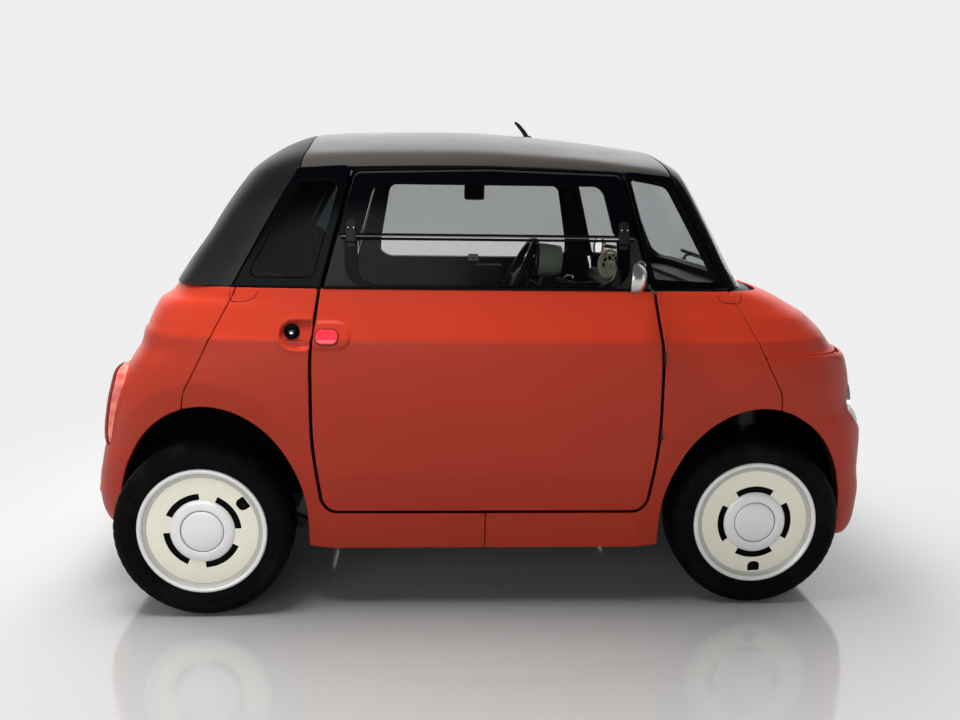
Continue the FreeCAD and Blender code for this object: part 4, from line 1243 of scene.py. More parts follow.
def ws_surf(p, q):
    """the front face, rounded over into the roof at its top."""
    th = np.asarray(p) / .75
    q = np.asarray(q, float)
    zc = np.clip(q, .98, 1.51)
    r = plan_r(th, UW_(zc), UF_(zc), NG)
    o = np.stack([r * np.cos(th) - .16, r * np.sin(th) * .80, q - .10], 1)
    d = np.stack([np.full(len(th), .16), r * np.sin(th) * .20, np.full(len(th), .10)], 1)
    d /= np.linalg.norm(d, axis=1)[:, None]
    return cast(o, d, .0, .45, .05)


def invert(M, P, guess):
    """domain points whose mapped points lie nearest the given ones."""
    a = np.array(guess, float)
    e = 1e-4
    for _ in range(14):
        r0 = M(a[:, 0], a[:, 1])
        jp = (M(a[:, 0] + e, a[:, 1]) - r0) / e
        jq = (M(a[:, 0], a[:, 1] + e) - r0) / e
        d = P - r0
        a11, a12, a22 = (jp * jp).sum(1), (jp * jq).sum(1), (jq * jq).sum(1)
        b1, b2 = (jp * d).sum(1), (jq * d).sum(1)
        det = a11 * a22 - a12 ** 2
        st = np.stack([(a22 * b1 - a12 * b2) / det, (a11 * b2 - a12 * b1) / det], 1)
        ln = np.maximum(np.hypot(st[:, 0], st[:, 1]), 1e-9)
        a = a + st * np.minimum(1, .05 / ln)[:, None]
    return a


XE, XG = .530, .566            # front edge of the roof panel, at the middle and at the gutter
zc0 = gutter(XG) + .0022
bmax = math.atan2(float(up_y(XG, zc0)), zc0 - 1.20) * .42


def roof_front(v):
    return XE + (XG - XE) * np.abs(v) ** 3


vv = np.linspace(-.985, .985, 61)
ws_p3 = roof_map(roof_front(vv) + .0028, vv * bmax)
ws_top = invert(ws_surf, ws_p3, np.stack([np.arctan2(ws_p3[:, 1], ws_p3[:, 0]) * .75, ws_p3[:, 2]], 1))
ws_side_r = [ws_edge(z, -1) for z in np.linspace(zt - .002, 1.0135, 26)]
ws_side_l = [ws_edge(z, 1) for z in np.linspace(1.0135, zt - .002, 26)]
ws_ol = np.concatenate([np.array(ws_side_r), np.array(ws_side_l), ws_top[::-1]])
WS = [(-.525, 1.045, .035), (-.470, 1.362, .045), (0, 1.378, 0), (.470, 1.362, .045), (.525, 1.045, .035)]


def front_uv(y, z):
    L, W = UF_(z), UW_(z)
    x = L * np.power(np.clip(1 - np.power(np.clip(np.abs(y) / W, 0, .9995), NG), 1e-9, 1), 1 / NG)
    return np.stack([np.arctan2(y, x) * .75, z], 1)


ws_hole = rounded(WS, 8)
ws_hole = resample(ws_hole, .014)
ws_hole_uv = front_uv(ws_hole[:, 0], ws_hole[:, 1])
ob = panel("screen_surround", ws_surf, spaced(corner_round(ccw(ws_ol), .004), .013), holes=[ws_hole_uv], t=.022, r=.0025, step=.016,
           ref=UREF, mats=UPM)
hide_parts("pillars_right", "pillars_left")
ws_glass = offset(ccw(ws_hole_uv), -.0012)
ob = panel("windscreen_pane", ws_surf, spaced(ws_glass, .014), t=.0045, r=.0008, step=.03, ref=UREF, mats=("pane_screen",) * 3, lift=-.0015)
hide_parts("windscreen")

# roof panel between the gutters


def roof_seam(v):
    """where the roof panel meets the rear cap: a straight line that turns back at the gutters"""
    e = np.clip((np.abs(v) - .80) / .20, 0, 1)
    return -.5560 - .0140 * e * e * (3 - 2 * e)


xs_r = np.linspace(-.5672, XG, 60)
roof_r, roof_l = [], []
for x in xs_r:
    z = gutter(x) + .0022
    y = float(up_y(x, z))
    bq = math.atan2(y, z - 1.20) * .42
    roof_r.append((x, -bq))
    roof_l.append((x, bq))
fr_b = roof_l[-1][1]
front_edge = [(float(roof_front(v)), v * fr_b) for v in np.linspace(-1, 1, 41)[1:-1]]
rear_edge = [(float(roof_seam(v)) + .0028, v * roof_l[0][1]) for v in np.linspace(1, -1, 61)[1:-1]]
roof_ol = np.array(roof_r + front_edge + roof_l[::-1] + rear_edge)
ob = panel("roof_skin", roof_map, spaced(corner_round(ccw(roof_ol), .005), .016), t=.024, r=.0035, step=.017, ref=(0, 0, 1.1),
           mats=("roof", "roof", "interior_dark"))
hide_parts("roof_panel")

# rear cap, over the tail from gutter to gutter, with the rear window
cap_r = []
for z in np.linspace(1.0135, 1.3575, 26):
    x = float(np.interp(z, [1.0135, 1.3600], [-.7675, -.5770]))
    cap_r.append((x, -float(up_y(x, z)), z))
cap_r.append((-.5745, -float(up_y(-.5745, 1.3625)), 1.3625))
P_edge = roof_map(roof_seam(np.linspace(-1, 1, 61)), np.linspace(-roof_l[0][1], roof_l[0][1], 61))
cap_top = [tuple(p) for p in P_edge]
cap_pts = cap_r + cap_top + [(x, -y, z) for x, y, z in cap_r[::-1]]
cap_uvs = cap_uv(np.array(cap_pts))
cap_bottom = []
lat0 = cap_uvs[-1]
for mu in np.linspace(cap_uvs[-1][0], cap_uvs[0][0], 60)[1:-1]:
    cap_bottom.append((mu, .0004))
cap_ol = np.concatenate([cap_uvs, np.array(cap_bottom)])
REAR_WIN = [(-.470, 1.070, .060), (-.400, 1.362, .055), (.400, 1.362, .055), (.470, 1.070, .060)]
rw = resample(rounded(REAR_WIN, 8), .014)
L, W = UR_(rw[:, 1]), UW_(rw[:, 1])
rwx = -L * np.power(1 - np.power(np.abs(rw[:, 0]) / W, NG), 1 / NG)
rw_uv = cap_uv(np.stack([rwx, rw[:, 0], rw[:, 1]], 1))
ob = panel("cap_skin", cap_map, spaced(corner_round(ccw(cap_ol), .005), .014), holes=[rw_uv], t=.026, r=.004, step=.017, ref=(-.4, 0, 1.0),
           mats=("cap", "cap", "interior_dark"))
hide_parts("rear_roof_cap")
ob = panel("rear_pane", cap_map, spaced(offset(ccw(rw_uv), -.0012), .014), t=.0045, r=.0008, step=.03, ref=(-.4, 0, 1.0),
           mats=("pane_dark",) * 3, lift=-.002)
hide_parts("rear_window")

# ------------------------------------------------------------------ small helpers for trim


def plate(name, origin, nrm, xdir, outline, t, r, mats, body, holes=(), step=.02, turn=None, replaces=(), lift=0.0):
    """a flat rounded plate: outline in the plane through origin."""
    o, R = axes(origin, nrm, xdir)

    def m(p, q):
        return o + np.outer(p, R[:, 0]) + np.outer(q, R[:, 1])
    ml = (mats,) * 3 if isinstance(mats, str) else mats
    ob = panel(name, m, outline, holes=holes, t=t, r=r, step=step, ref=o - R[:, 2], mats=ml, turn=turn, body=body, lift=lift)
    if replaces:
        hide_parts(*replaces)
    return ob


def ring2(cx, cy, r, n=36):
    t = np.linspace(0, 2 * math.pi, n, endpoint=False)
    return np.stack([cx + r * np.cos(t), cy + r * np.sin(t)], 1)


def pill(cx, cy, hx, hy, n=10):
    """stadium outline with half sizes hx, hy."""
    r = min(hx, hy) * .999
    return rounded([(cx - hx, cy - hy, r), (cx + hx, cy - hy, r), (cx + hx, cy + hy, r), (cx - hx, cy + hy, r)], n)


def halfturn(P):
    return np.array(P, float) * [-1, -1, 1]


def on_up(x, z, sg=-1, out=0.0):
    P, N, _ = frame_at(up_side(sg), None, np.array([[x, z]], float), np.array(UREF, float))
    return P[0] + N[0] * out


def up_line(pts, out=0.0, sg=-1):
    P, N, _ = frame_at(up_side(sg), None, np.array(pts, float), np.array(UREF, float))
    return P + N * out


def swept(P, radii, k=1):
    """more points along a polyline, smoothly."""
    P = np.array(P, float)
    n = len(P)
    t = np.arange(n)
    u = np.linspace(0, n - 1, (n - 1) * k + 1)
    out = []
    for c in range(3):
        f = pchip(t, P[:, c]) if n > 2 else None
        out.append(f(u) if f is not None else np.interp(u, t, P[:, c]))
    rad = np.interp(u, t, radii) if not np.isscalar(radii) else radii
    return np.stack(out, 1), rad


# ------------------------------------------------------------------ wheels
WR = .272


def tyre_profile():
    half = [(.1775, .0455), (.1785, .0520), (.1835, .0575), (.1900, .0590), (.1960, .0602), (.2000, .0645), (.2025, .0672), (.2050, .0672),
            (.2070, .0690), (.2130, .0722), (.2160, .0728), (.2170, .0745), (.2195, .0750), (.2215, .0742), (.2300, .0762), (.2400, .0775),
            (.2425, .0788), (.2450, .0780), (.2470, .0768), (.2540, .0742), (.2600, .0700), (.2650, .0650), (.2683, .0605), (.2702, .0560),
            (.2710, .0480), (.2714, .0400), (.2655, .0385), (.2655, .0330), (.2717, .0315), (.2719, .0150), (.2660, .0135), (.2660, .0075), (.2720, .0060)]
    other = [(r, -t) for r, t in half[::-1]]
    return half + other


TP = np.array(tyre_profile())


def tread(pr, a, i):
    """sipes across the shoulders, and finer ones in the ribs."""
    p = pr.copy()
    k = i % 4
    sh = (pr[:, 0] > .2595) & (np.abs(pr[:, 1]) > .0390)
    rib = (pr[:, 0] > .2708) & (np.abs(pr[:, 1]) <= .0390) & (np.abs(pr[:, 1]) > .0100)
    if k == 0:
        p[sh, 0] -= .0012
        p[rib, 0] -= .0012
    return p


def wheel_place(cx, cy, s, rot=0.0):
    """local x, z, t: t runs outwards, x to the right as seen from outside."""
    n = np.array([0, s, 0.0])
    x = np.array([math.cos(rot), 0, math.sin(rot)]) * [(-s), 0, 1] if s > 0 else np.array([math.cos(rot), 0, math.sin(rot)])
    z = np.cross(n, x)
    return np.array([cx, cy, WR]), np.stack([x, z, n], 1)


RIM = [(.1765, -.0585), (.1795, -.0620), (.1765, -.0650), (.1715, -.0620), (.1655, -.0540), (.1630, -.0300), (.1500, -.0100), (.1460, .0150),
       (.1520, .0400), (.1640, .0540), (.1710, .0572), (.1775, .0568), (.1772, .0300), (.1640, .0180), (.1640, -.0200), (.1772, -.0350)]
LIP = [(.1706, .0570), (.1710, .0603), (.1718, .0612), (.1755, .0614), (.1800, .0628), (.1832, .0655), (.1858, .0682), (.1888, .0698), (.1925, .0701),
       (.1955, .0686), (.1972, .0660), (.1974, .0632), (.1962, .0612), (.1900, .0590), (.1800, .0566), (.1740, .0558)]
CAPRING = [(.0660, .0652), (.0668, .0662), (.0700, .0668), (.0800, .0662), (.0900, .0645), (.0955, .0628), (.0982, .0606), (.0990, .0585), (.0980, .0570),
           (.0900, .0560), (.0700, .0580), (.0662, .0600)]
DOME = [(.0, .0702), (.0200, .0698), (.0400, .0684), (.0540, .0668), (.0610, .0656), (.0636, .0644), (.0642, .0628), (.0640, .0590), (.0, .0590)]
STEP = [(.1722, .0606), (.1722, .0617), (.1755, .0618), (.1800, .0632), (.1828, .0655), (.1836, .0652), (.1800, .0618), (.1755, .0604)]
GROOVE = [(.1700, .0585), (.1700, .0604), (.1716, .0604), (.1716, .0585)]
LINE = [(.0640, .0600), (.0640, .0640), (.0664, .0640), (.0664, .0600)]
WEB = [(.0160, .0300), (.0500, .0320), (.0900, .0380), (.1300, .0340), (.1500, .0300), (.1520, .0240), (.1300, .0250), (.0900, .0290), (.0500, .0240), (.0160, .0220)]
BACKDISC = [(.0640, .0520), (.1200, .0500), (.1690, .0540), (.1690, .0505), (.1200, .0455), (.0640, .0470)]
TSEG, WSEG = ((216, 120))

for sx, s, yc, nm, rot in ((1, -1, .5475, "front_right", math.radians(2.5)), (1, 1, .5475, "front_left", math.radians(2.5)),
                           (-1, -1, .6125, "rear_right", math.radians(124.5)), (-1, 1, .6125, "rear_left", math.radians(124.5))):
    cx, cy = sx * .864, s * yc
    b = "wheel_" + nm
    pl = wheel_place(cx, cy, s)
    o = revolve("tyre_body_" + nm, TP, "rubber", TSEG, pl, b, wave=tread, sharp=50)
    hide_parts("tyre_" + nm)
    o = revolve("rim_" + nm, RIM, "steel", WSEG, pl, b, sharp=50)
    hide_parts("wheel_" + nm)
    revolve("rim_web_" + nm, WEB, "steel", WSEG, pl, b, sharp=50)
    revolve("cover_back_" + nm, BACKDISC, "gloss_black", WSEG, pl, b, sharp=40)
    o = revolve("cover_lip_" + nm, LIP, "silver", TSEG, pl, b, sharp=60)
    revolve("cover_ring_" + nm, CAPRING, "hub_silver", WSEG, pl, b, sharp=50)
    # the step ring over the lip's inner slope is a darker silver: painted shade
    revolve("cover_step_" + nm, STEP, "step_silver", WSEG, pl, b, sharp=50)
    # the groove ring is dark grey: painted shade in the groove
    revolve("cover_groove_" + nm, GROOVE, "groove_grey", WSEG, pl, b, sharp=50)
    revolve("cover_line_" + nm, LINE, "hub_line", WSEG, pl, b, sharp=50)
    revolve("cover_dome_" + nm, DOME, "hub_silver", WSEG, pl, b, sharp=50)
    # cream disc with four slots about the cap and a notch for the valve
    W0, R0 = wheel_place(cx, cy, s, rot if s < 0 else -rot)

    def disc(p, q, W0=W0, R0=R0):
        r = np.hypot(p, q)
        t = .0600 + .0016 * (1 - ((r - .135) / .036) ** 2)
        return W0 + np.outer(p, R0[:, 0]) + np.outer(q, R0[:, 1]) + np.outer(t, R0[:, 2])
    inner = []
    for k in range(4):
        a0 = math.pi / 2 * k
        lo_a, hi_a = a0 - math.radians(31), a0 + math.radians(31)
        nxt = a0 + math.pi / 2 - math.radians(31)
        for t in np.linspace(lo_a, hi_a, 16):
            inner.append((.1185 * math.cos(t), .1185 * math.sin(t), .0025))
        for t in np.linspace(hi_a, nxt, 12):
            inner.append((.0955 * math.cos(t), .0955 * math.sin(t), .0015))
    inner = resample(np.array([p[:2] for p in inner]), .005)
    outer = ring2(0, 0, .1704, 120)
    notch = rounded([(-.0195, -.1655, .004), (.0195, -.1655, .004), (.0195, -.1325, .0185), (-.0195, -.1325, .0185)], 8)
    o = panel("cover_disc_" + nm, disc, outer, holes=[inner, notch], t=.0045, r=.0010, step=.009, ref=tuple(W0 - R0[:, 2]), mats=("cream",) * 3, body=b)
    # valve
    vdir = -R0[:, 1]
    v0 = W0 + vdir * .150 + R0[:, 2] * .046
    tube_mesh("valve_" + nm, [v0, v0 + R0[:, 2] * .008, v0 + R0[:, 2] * .0125], .004, "black_trim", seg=10, body=b, radii=[.0045, .0042, .0032])

# ------------------------------------------------------------------ door fittings
ZR = ROD_Z
for sd, turn in (("right", None), ("left", "half")):
    b = "door_" + sd
    H = (lambda P: np.array(P, float)) if turn is None else halfturn
    # the flap's hinge rod with its seals
    xs = np.linspace(-.4385, .4385, 60)
    for nm, dz, rad, mt, out in () if sd == "left" else (("rod", 0, .0015, "rod_metal", .0116), ("seal_top", .0062, .0034, "seal", .0075), ("seal_low", -.0062, .0034, "seal", .0080)):
        o = tube_mesh("flap_%s_%s" % (nm, sd), H(up_line(np.stack([xs, np.full(60, ZR + dz)], 1), out)), rad, mt, seg=8, body=b)
        if nm == "rod":
            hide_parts("door_fittings_" + sd)
    for e, sx in () if sd == "left" else (("a", -1), ("b", 1)):
        cxb = sx * .4095
        base = rounded([(cxb - .0150, 1.186, .006), (cxb + .0150, 1.186, .006), (cxb + .0150, 1.2160, .0145), (cxb - .0150, 1.2160, .0145)], 8)
        upper_part("flap_hinge_leaf_%s_%s" % (e, sd), base, [], .010, sd, b, ("black_trim",) * 3, turn=turn, lift=.0085, r=.0025, step=.008)
        mid = rounded([(cxb - .0160, 1.1480, .004), (cxb + .0160, 1.1480, .004), (cxb + .0160, 1.1900, .004), (cxb - .0160, 1.1900, .004)], 5)
        upper_part("flap_hinge_block_%s_%s" % (e, sd), mid, [], .018, sd, b, ("black_trim",) * 3, turn=turn, lift=.0145, r=.0035, step=.008)
        low = rounded([(cxb - .0140, 1.1320, .010), (cxb + .0140, 1.1320, .010), (cxb + .0140, 1.1475, .003), (cxb - .0140, 1.1475, .003)], 6)
        upper_part("flap_hinge_foot_%s_%s" % (e, sd), low, [], .010, sd, b, ("black_trim",) * 3, turn=turn, lift=.0095, r=.0025, step=.008)
        for dxs in (-.0085, .0085):
            P0 = H([on_up(cxb + dxs, 1.1895, -1, .0150)])[0]
            P1 = H([on_up(cxb + dxs, 1.1895, -1, .0180)])[0]
            tube_mesh("flap_hinge_screw_%s_%s_%d" % (e, sd, dxs > 0), [P0, P1], .0024, "chrome", seg=8, body=b)
    # outside release button in its raised pad; its mottled pink glow is painted highlights
    bt = pill(-.4765, .8745, .0330, .0200, 12)
    o = panel("door_button_" + sd, low_side(-1), spaced(bt, .004), t=.012, r=.0035, step=.006, relief=low_relief, mats=("button_pink", "button_pink", "button_pink"),
              turn=turn, lift=.0045, body=b)
    # a dark red ring round the button: painted shade of the recess it sits in
    shade_ring_pts = resample(pill(-.4765, .8745, .0342, .0212, 12), .004)
    o = tube_mesh("door_button_shade_ring_" + sd, H(surf_line(shade_ring_pts, low_side(-1), .0002)), .0017, "crease_shade_line", seg=8, closed=True, body=b)
    # inside pull, and a grab pad on the left door's upper rail
    yb = .628
    pp = [(-.405, -yb + .000, .915), (-.398, -yb + .022, .914), (-.36, -yb + .034, .913), (-.29, -yb + .034, .913), (-.252, -yb + .022, .914), (-.245, -yb + .000, .915)]
    P, _ = swept(pp, .008, 5)
    o = tube_mesh("door_pull_" + sd, H(P), .0085, "black_trim", seg=12, body=b, squashed=.75)
    if sd == "left":
        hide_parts("door_fittings_left")
        soft_box("door_pad_left", (-.042, -.5640, 1.2585), (.042, -.5380, 1.3270), .012, "interior_dark", body=b, seg=4, turnm=Matrix.Rotation(math.pi, 4, "Z"))
    o = soft_box("door_latch_box_" + sd, (-.122, -.6050, .9180), (-.004, -.5080, .9930), .009, "interior_dark", body=b, seg=3,
                 turnm=Matrix.Rotation(math.pi, 4, "Z") if turn else None)
    P0 = H([(-.063, -.5085, .978)])[0]
    P1 = H([(-.063, -.5045, .978)])[0]
    tube_mesh("door_latch_screw_" + sd, [P0, P1], .0060, "steel", seg=12, body=b)
    nrm = (0, 1, 0) if turn is None else (0, -1, 0)
    xd = (-1, 0, 0) if turn is None else (1, 0, 0)
    oc = H([(.0005, -.5780, 1.0185)])[0]
    if sd == "left":
        plate("door_catch_" + sd, oc, nrm, xd, rounded([(-.0215, -.0145, .003), (.0215, -.0145, .003), (.0215, .0145, .003), (-.0215, .0145, .003)], 4),
              .003, .0008, "aluminium", b, holes=[ring2(0, 0, .0055, 20)], step=.006)
    # inner trim: two raised swages on the lower panel
    for z0, z1 in ((.56, .60), (.66, .84)):
        ol_t = rounded([(-.43, z0, .03), (.43, z0, .03), (.43, z1, .03), (-.43, z1, .03)], 8)
        o = panel("door_inner_pad_%s_%d" % (sd, int(z0 * 100)), low_side(-1), spaced(ol_t, .014), t=.010, r=.004, step=.02, relief=None,
                  mats=("interior_panel",) * 3, turn=turn, lift=.0520, body=b, ref=(0, -3.0, .7))

# lock barrels in the recess beside each latch
for sd, sg, turn in (("right", -1, None), ("left", 1, "half")):
    Pn, Nn = on_low(-.5812, .8925, -1)
    c0 = Pn - Nn * .0005
    W0, R0 = axes(c0, Nn, (1, 0, 0))
    if turn:
        T = np.diag([-1.0, -1.0, 1.0])
        W0, R0 = T @ W0, T @ R0
    o = revolve("lock_bezel_" + sd, [(.0105, .0095), (.0150, .0125), (.0190, .0120), (.0222, .0090), (.0235, .0040), (.0235, -.0060), (.0, -.0060), (.0, .0060), (.0095, .0060)],
                "gloss_black", 48, (W0, R0), "body", sharp=50)
    off = np.array(R0[:, 0]) * .0005 - np.array([0, 0, 1.0]) * .0035
    o = revolve("lock_barrel_" + sd, [(.0, .0125), (.0050, .0121), (.0078, .0108), (.0086, .0085), (.0086, .0030), (.0, .0030)], "chrome", 32, (W0 + off, R0), "body", sharp=50)

# thin tab outlines pressed into the belt corners, drawn as dark red tubes: painted shade in the pressed lines
for sgy in (-1, 1):
    for nm, pts in (("front", [(.6985, .9985), (.7010, .9900), (.7080, .9820), (.7200, .9782), (.7400, .9762), (.7560, .9750), (.7660, .9760), (.7740, .9830), (.7760, .9925), (.7755, .9990)]),
                    ("rear", [(-.7700, .9990), (-.7705, .9880), (-.7690, .9780), (-.7600, .9700), (-.7400, .9705), (-.7150, .9740), (-.7000, .9800), (-.6900, .9920), (-.6850, 1.0000)])):
        P, _ = swept(surf_line(pts, low_side(sgy), -.0004), .001, 4)
        o = tube_mesh("belt_tab_shade_line_%s_%s" % (nm, "right" if sgy < 0 else "left"), P, .0013, "crease_shade_line", seg=6)

# weather seals: round each door's opening on the body, and along each door's belt
for sd, sg in (("right", -1), ("left", 1)):
    so = offset(ccw(spaced(rounded(DOOR_UP, 8), .012)), .0068)
    so = so[so[:, 1] > 1.024]
    k = int(np.argmax(np.linalg.norm(np.roll(so, -1, 0) - so, axis=1)))
    so = np.roll(so, -(k + 1), 0)
    tube_mesh("aperture_seal_" + sd, surf_line(so, up_side(sg), -.0170, relief=None, ref=UREF), .0064, "dark_void", seg=8)
    xs = np.linspace(-.490, .490, 50)
    yy = np.array([float(low_y(x, 1.012)) for x in xs])
    P = np.stack([xs, -(yy - .0105), np.full(50, 1.0140)], 1)
    if sd == "left":
        P = halfturn(P)
    tube_mesh("belt_seal_" + sd, P, .0125, "seal", seg=12, body="door_" + sd, ups=(0, 0, 1), squashed=.30)
    for nm, x0, x1 in (("front", .5050, .7350), ("rear", -.7700, -.5050)):
        xs2 = np.linspace(x0, x1, 24)
        yy2 = np.array([float(low_y(x, 1.012)) for x in xs2])
        P = np.stack([xs2, sg * (yy2 - .0115), np.full(24, 1.0140)], 1)
        tube_mesh("belt_seal_%s_%s" % (nm, sd), P, .0110, "seal", seg=12, ups=(0, 0, 1), squashed=.30)

# ------------------------------------------------------------------ mirrors
BOWL = [(.0, -.0430), (.0120, -.0424), (.0230, -.0396), (.0330, -.0335), (.0405, -.0240), (.0450, -.0125), (.0470, -.0020), (.0474, .0030), (.0466, .0052),
        (.0446, .0050), (.0436, .0030), (.0432, -.0010), (.0, -.0010)]
BM = ["satin_chrome"] * 11 + ["mirror_glass", "mirror_glass"]
surface("mirror_glass", (.78, .80, .82), 0.03, metallic=1.0, var=0.01, vscale=8.0, rvar=0.01)
for sd, c, ft, bdy, dirn in (("right", (.4130, -.7480, 1.0600), (.4625, -.6010, 1.0880), "door_right", (-1.0, .20, .07)),
                             ("left", (.5600, .7480, 1.0600), (.6480, .5900, 1.0600), "body", (-1.0, -.24, .07))):
    W0, R0 = axes(c, dirn, (0, 1, 0))
    S = R0 @ np.diag([1.05, 1.02, .84])
    o = revolve("mirror_bowl_" + sd, BOWL, BM, 64, (W0, S), bdy, sharp=55)
    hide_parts("mirror_" + sd)
    back = np.array(c) - R0[:, 2] * .026
    sg = -1 if sd == "right" else 1
    mid1 = back + np.array([.012, -sg * .034, .004])
    mid2 = np.array(ft) + np.array([0, sg * .030, -.002])
    P, rad = swept([back, mid1, mid2, np.array(ft)], [.0085, .0085, .0080, .0110], 6)
    o = tube_mesh("mirror_arm_" + sd, P, .008, "black_trim", seg=12, body=bdy, radii=rad)
    Wf, Rf = axes(np.array(ft) + np.array([0, sg * .004, 0]), (0, sg, .12), (1, 0, 0))
    o = revolve("mirror_foot_" + sd, [(.0, .0070), (.0080, .0068), (.0130, .0050), (.0155, .0015), (.0155, -.0080), (.0, -.0080)], "chrome", 32, (Wf, Rf), bdy, sharp=50)

# ------------------------------------------------------------------ tail lamps
TLX = pchip([.440, .457, .531, .629, .700, .740, .766], [1.180, 1.187, 1.2025, 1.1905, 1.173, 1.1600, 1.134])
for sd, yc in (("right", -.450), ("left", .450)):
    def tl(p, q, yc=yc, d=0.0):
        dy = (p - yc) / .082
        x = -(TLX(q) - .012 * np.abs(dy) ** 2.4 - d) - .0
        return np.stack([x, p, q], 1)
    ol_l = spaced(pill(yc, .6120, .0780, .1480, 14), .007)
    o = panel("tail_lens_" + sd, tl, ol_l, t=.0060, r=.0100, step=.010, ref=(0, yc, .6), mats=("tail_glass",) * 3)
    # the lamp's wall and back glow a little: painted glow
    o2 = panel("tail_lens_wall_" + sd, lambda p, q: tl(p, q, yc, .012), spaced(pill(yc, .6120, .0785, .1485, 14), .007),
               holes=[spaced(pill(yc, .6120, .0715, .1415, 14), .007)], t=.055, r=.003, step=.006, ref=(0, yc, .6), mats=("lens_red",) * 3)
    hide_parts("tail_lights")
    o = panel("tail_back_" + sd, lambda p, q: tl(p, q, yc, .030), spaced(pill(yc, .6120, .0720, .1420, 14), .008), t=.020, r=.004, step=.012,
              ref=(0, yc, .6), mats=("lens_red",) * 3)
    for k, (z, r, mt) in enumerate(((.690, .034, "lamp_bowl"), (.612, .030, "amber"), (.540, .030, "lamp_bowl"))):
        o = panel("tail_inner_%s_%d" % (sd, k), lambda p, q: tl(p, q, yc, .016), ring2(yc, z, r, 40), t=.016, r=.004, step=.008, ref=(0, yc, .6), mats=(mt,) * 3)

# ------------------------------------------------------------------ headlamps, grille, badge bar, plates
for sd, s in (("right", -1), ("left", 1)):
    rings = {}
    for key, rad in (("lens", .0712), ("trim_o", .0778), ("trim_i", .0706)):
        ring = []
        for k in range(56):
            t = 2 * math.pi * k / 56
            y, z = s * LAMP_Y + rad * math.cos(t), LAMP_Z + rad * math.sin(t)
            x = float(LF_(z)) * (1 - abs(y / float(W_(z))) ** NF) ** (1 / NF)
            ring.append((float(wrap_u("F", np.array(x), np.array(y))), z))
        rings[key] = np.array(ring)
    o = panel("headlamp_lens_" + sd, low_wrap("F"), rings["lens"], t=.004, r=.0012, step=.010, mats=("lens_clear",) * 3, lift=-.0030)
    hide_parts("headlights")
    o = panel("headlamp_ring_" + sd, low_wrap("F"), rings["trim_o"], holes=[rings["trim_i"]], t=.016, r=.0025, step=.004, mats=("satin_chrome",) * 3, lift=-.0008)
    xl = float(LF_(LAMP_Z)) * (1 - abs(LAMP_Y / float(W_(LAMP_Z))) ** NF) ** (1 / NF)
    Wl, Rl = axes((xl - .018, s * LAMP_Y, LAMP_Z), (1, s * .18, 0), (0, 1, 0))
    revolve("headlamp_bowl_" + sd, [(.0700, .0), (.0640, -.0150), (.0520, -.0290), (.0360, -.0390), (.0180, -.0440), (.0, -.0450), (.0, -.0500), (.0400, -.0450), (.0600, -.0330),
                                    (.0700, -.0170), (.0730, .0)], "lamp_bowl", 56, (Wl, Rl), "body", sharp=50)
    revolve("headlamp_bulb_" + sd, [(.0, -.0120), (.0080, -.0130), (.0140, -.0170), (.0165, -.0230), (.0165, -.0420), (.0, -.0440)], "pane_light", 32, (Wl, Rl), "body", sharp=50)
    revolve("headlamp_shade_" + sd, [(.0205, -.0180), (.0225, -.0180), (.0225, -.0420), (.0205, -.0420)], "black_trim", 40, (Wl, Rl), "body", sharp=50)


def nose_uv(y, z):
    y, z = np.asarray(y, float), np.asarray(z, float)
    x = LF_(z) * np.power(1 - np.power(np.abs(y) / W_(z), NF), 1 / NF)
    return np.stack([wrap_u("F", x, y), z], 1)


def tail_uv(y, z):
    y, z = np.asarray(y, float), np.asarray(z, float)
    x = -LR_(z) * np.power(1 - np.power(np.abs(y) / W_(z), NR), 1 / NR)
    return np.stack([wrap_u("R", x, y), z], 1)


gp = spaced(pill(0, .3080, .300, .0380, 12), .010)
o = panel("grille_back", low_wrap("F"), nose_uv(gp[:, 0], gp[:, 1]), t=.012, r=.004, step=.016, mats=("black_trim",) * 3, lift=.0015)
for k in range(4):
    z = .2860 + .0150 * k
    hw = .300 - .038 + math.sqrt(max(.0, .038 ** 2 - (z - .308) ** 2)) - .012
    ys = np.linspace(-hw, hw, 40)
    P, N, _ = frame_at(low_wrap("F"), None, nose_uv(ys, np.full(40, z)), np.array([0, 0, .7]))
    tube_mesh("grille_bar_%d" % k, P + N * .0035, .0036, "gloss_black", seg=8)
for s in (-1, 1):
    ys = np.linspace(s * .060, s * .215, 24)
    P, N, _ = frame_at(low_wrap("F"), None, nose_uv(ys, np.full(24, .700)), np.array([0, 0, .7]))
    tube_mesh("badge_bar_%s" % ("right" if s < 0 else "left"), P + N * .0025, .0065, "chrome", seg=12, squashed=.8)
Pb, Nb, _ = frame_at(low_wrap("F"), None, nose_uv([0.0], [.700]), np.array([0, 0, .7]))
revolve("badge_disc", [(.0, .0075), (.0240, .0068), (.0300, .0060), (.0330, .0072), (.0370, .0070), (.0395, .0045), (.0395, -.0060), (.0, -.0060)],
        "hub_silver", 56, axes(Pb[0], Nb[0], (0, 1, 0)), "body", sharp=45)
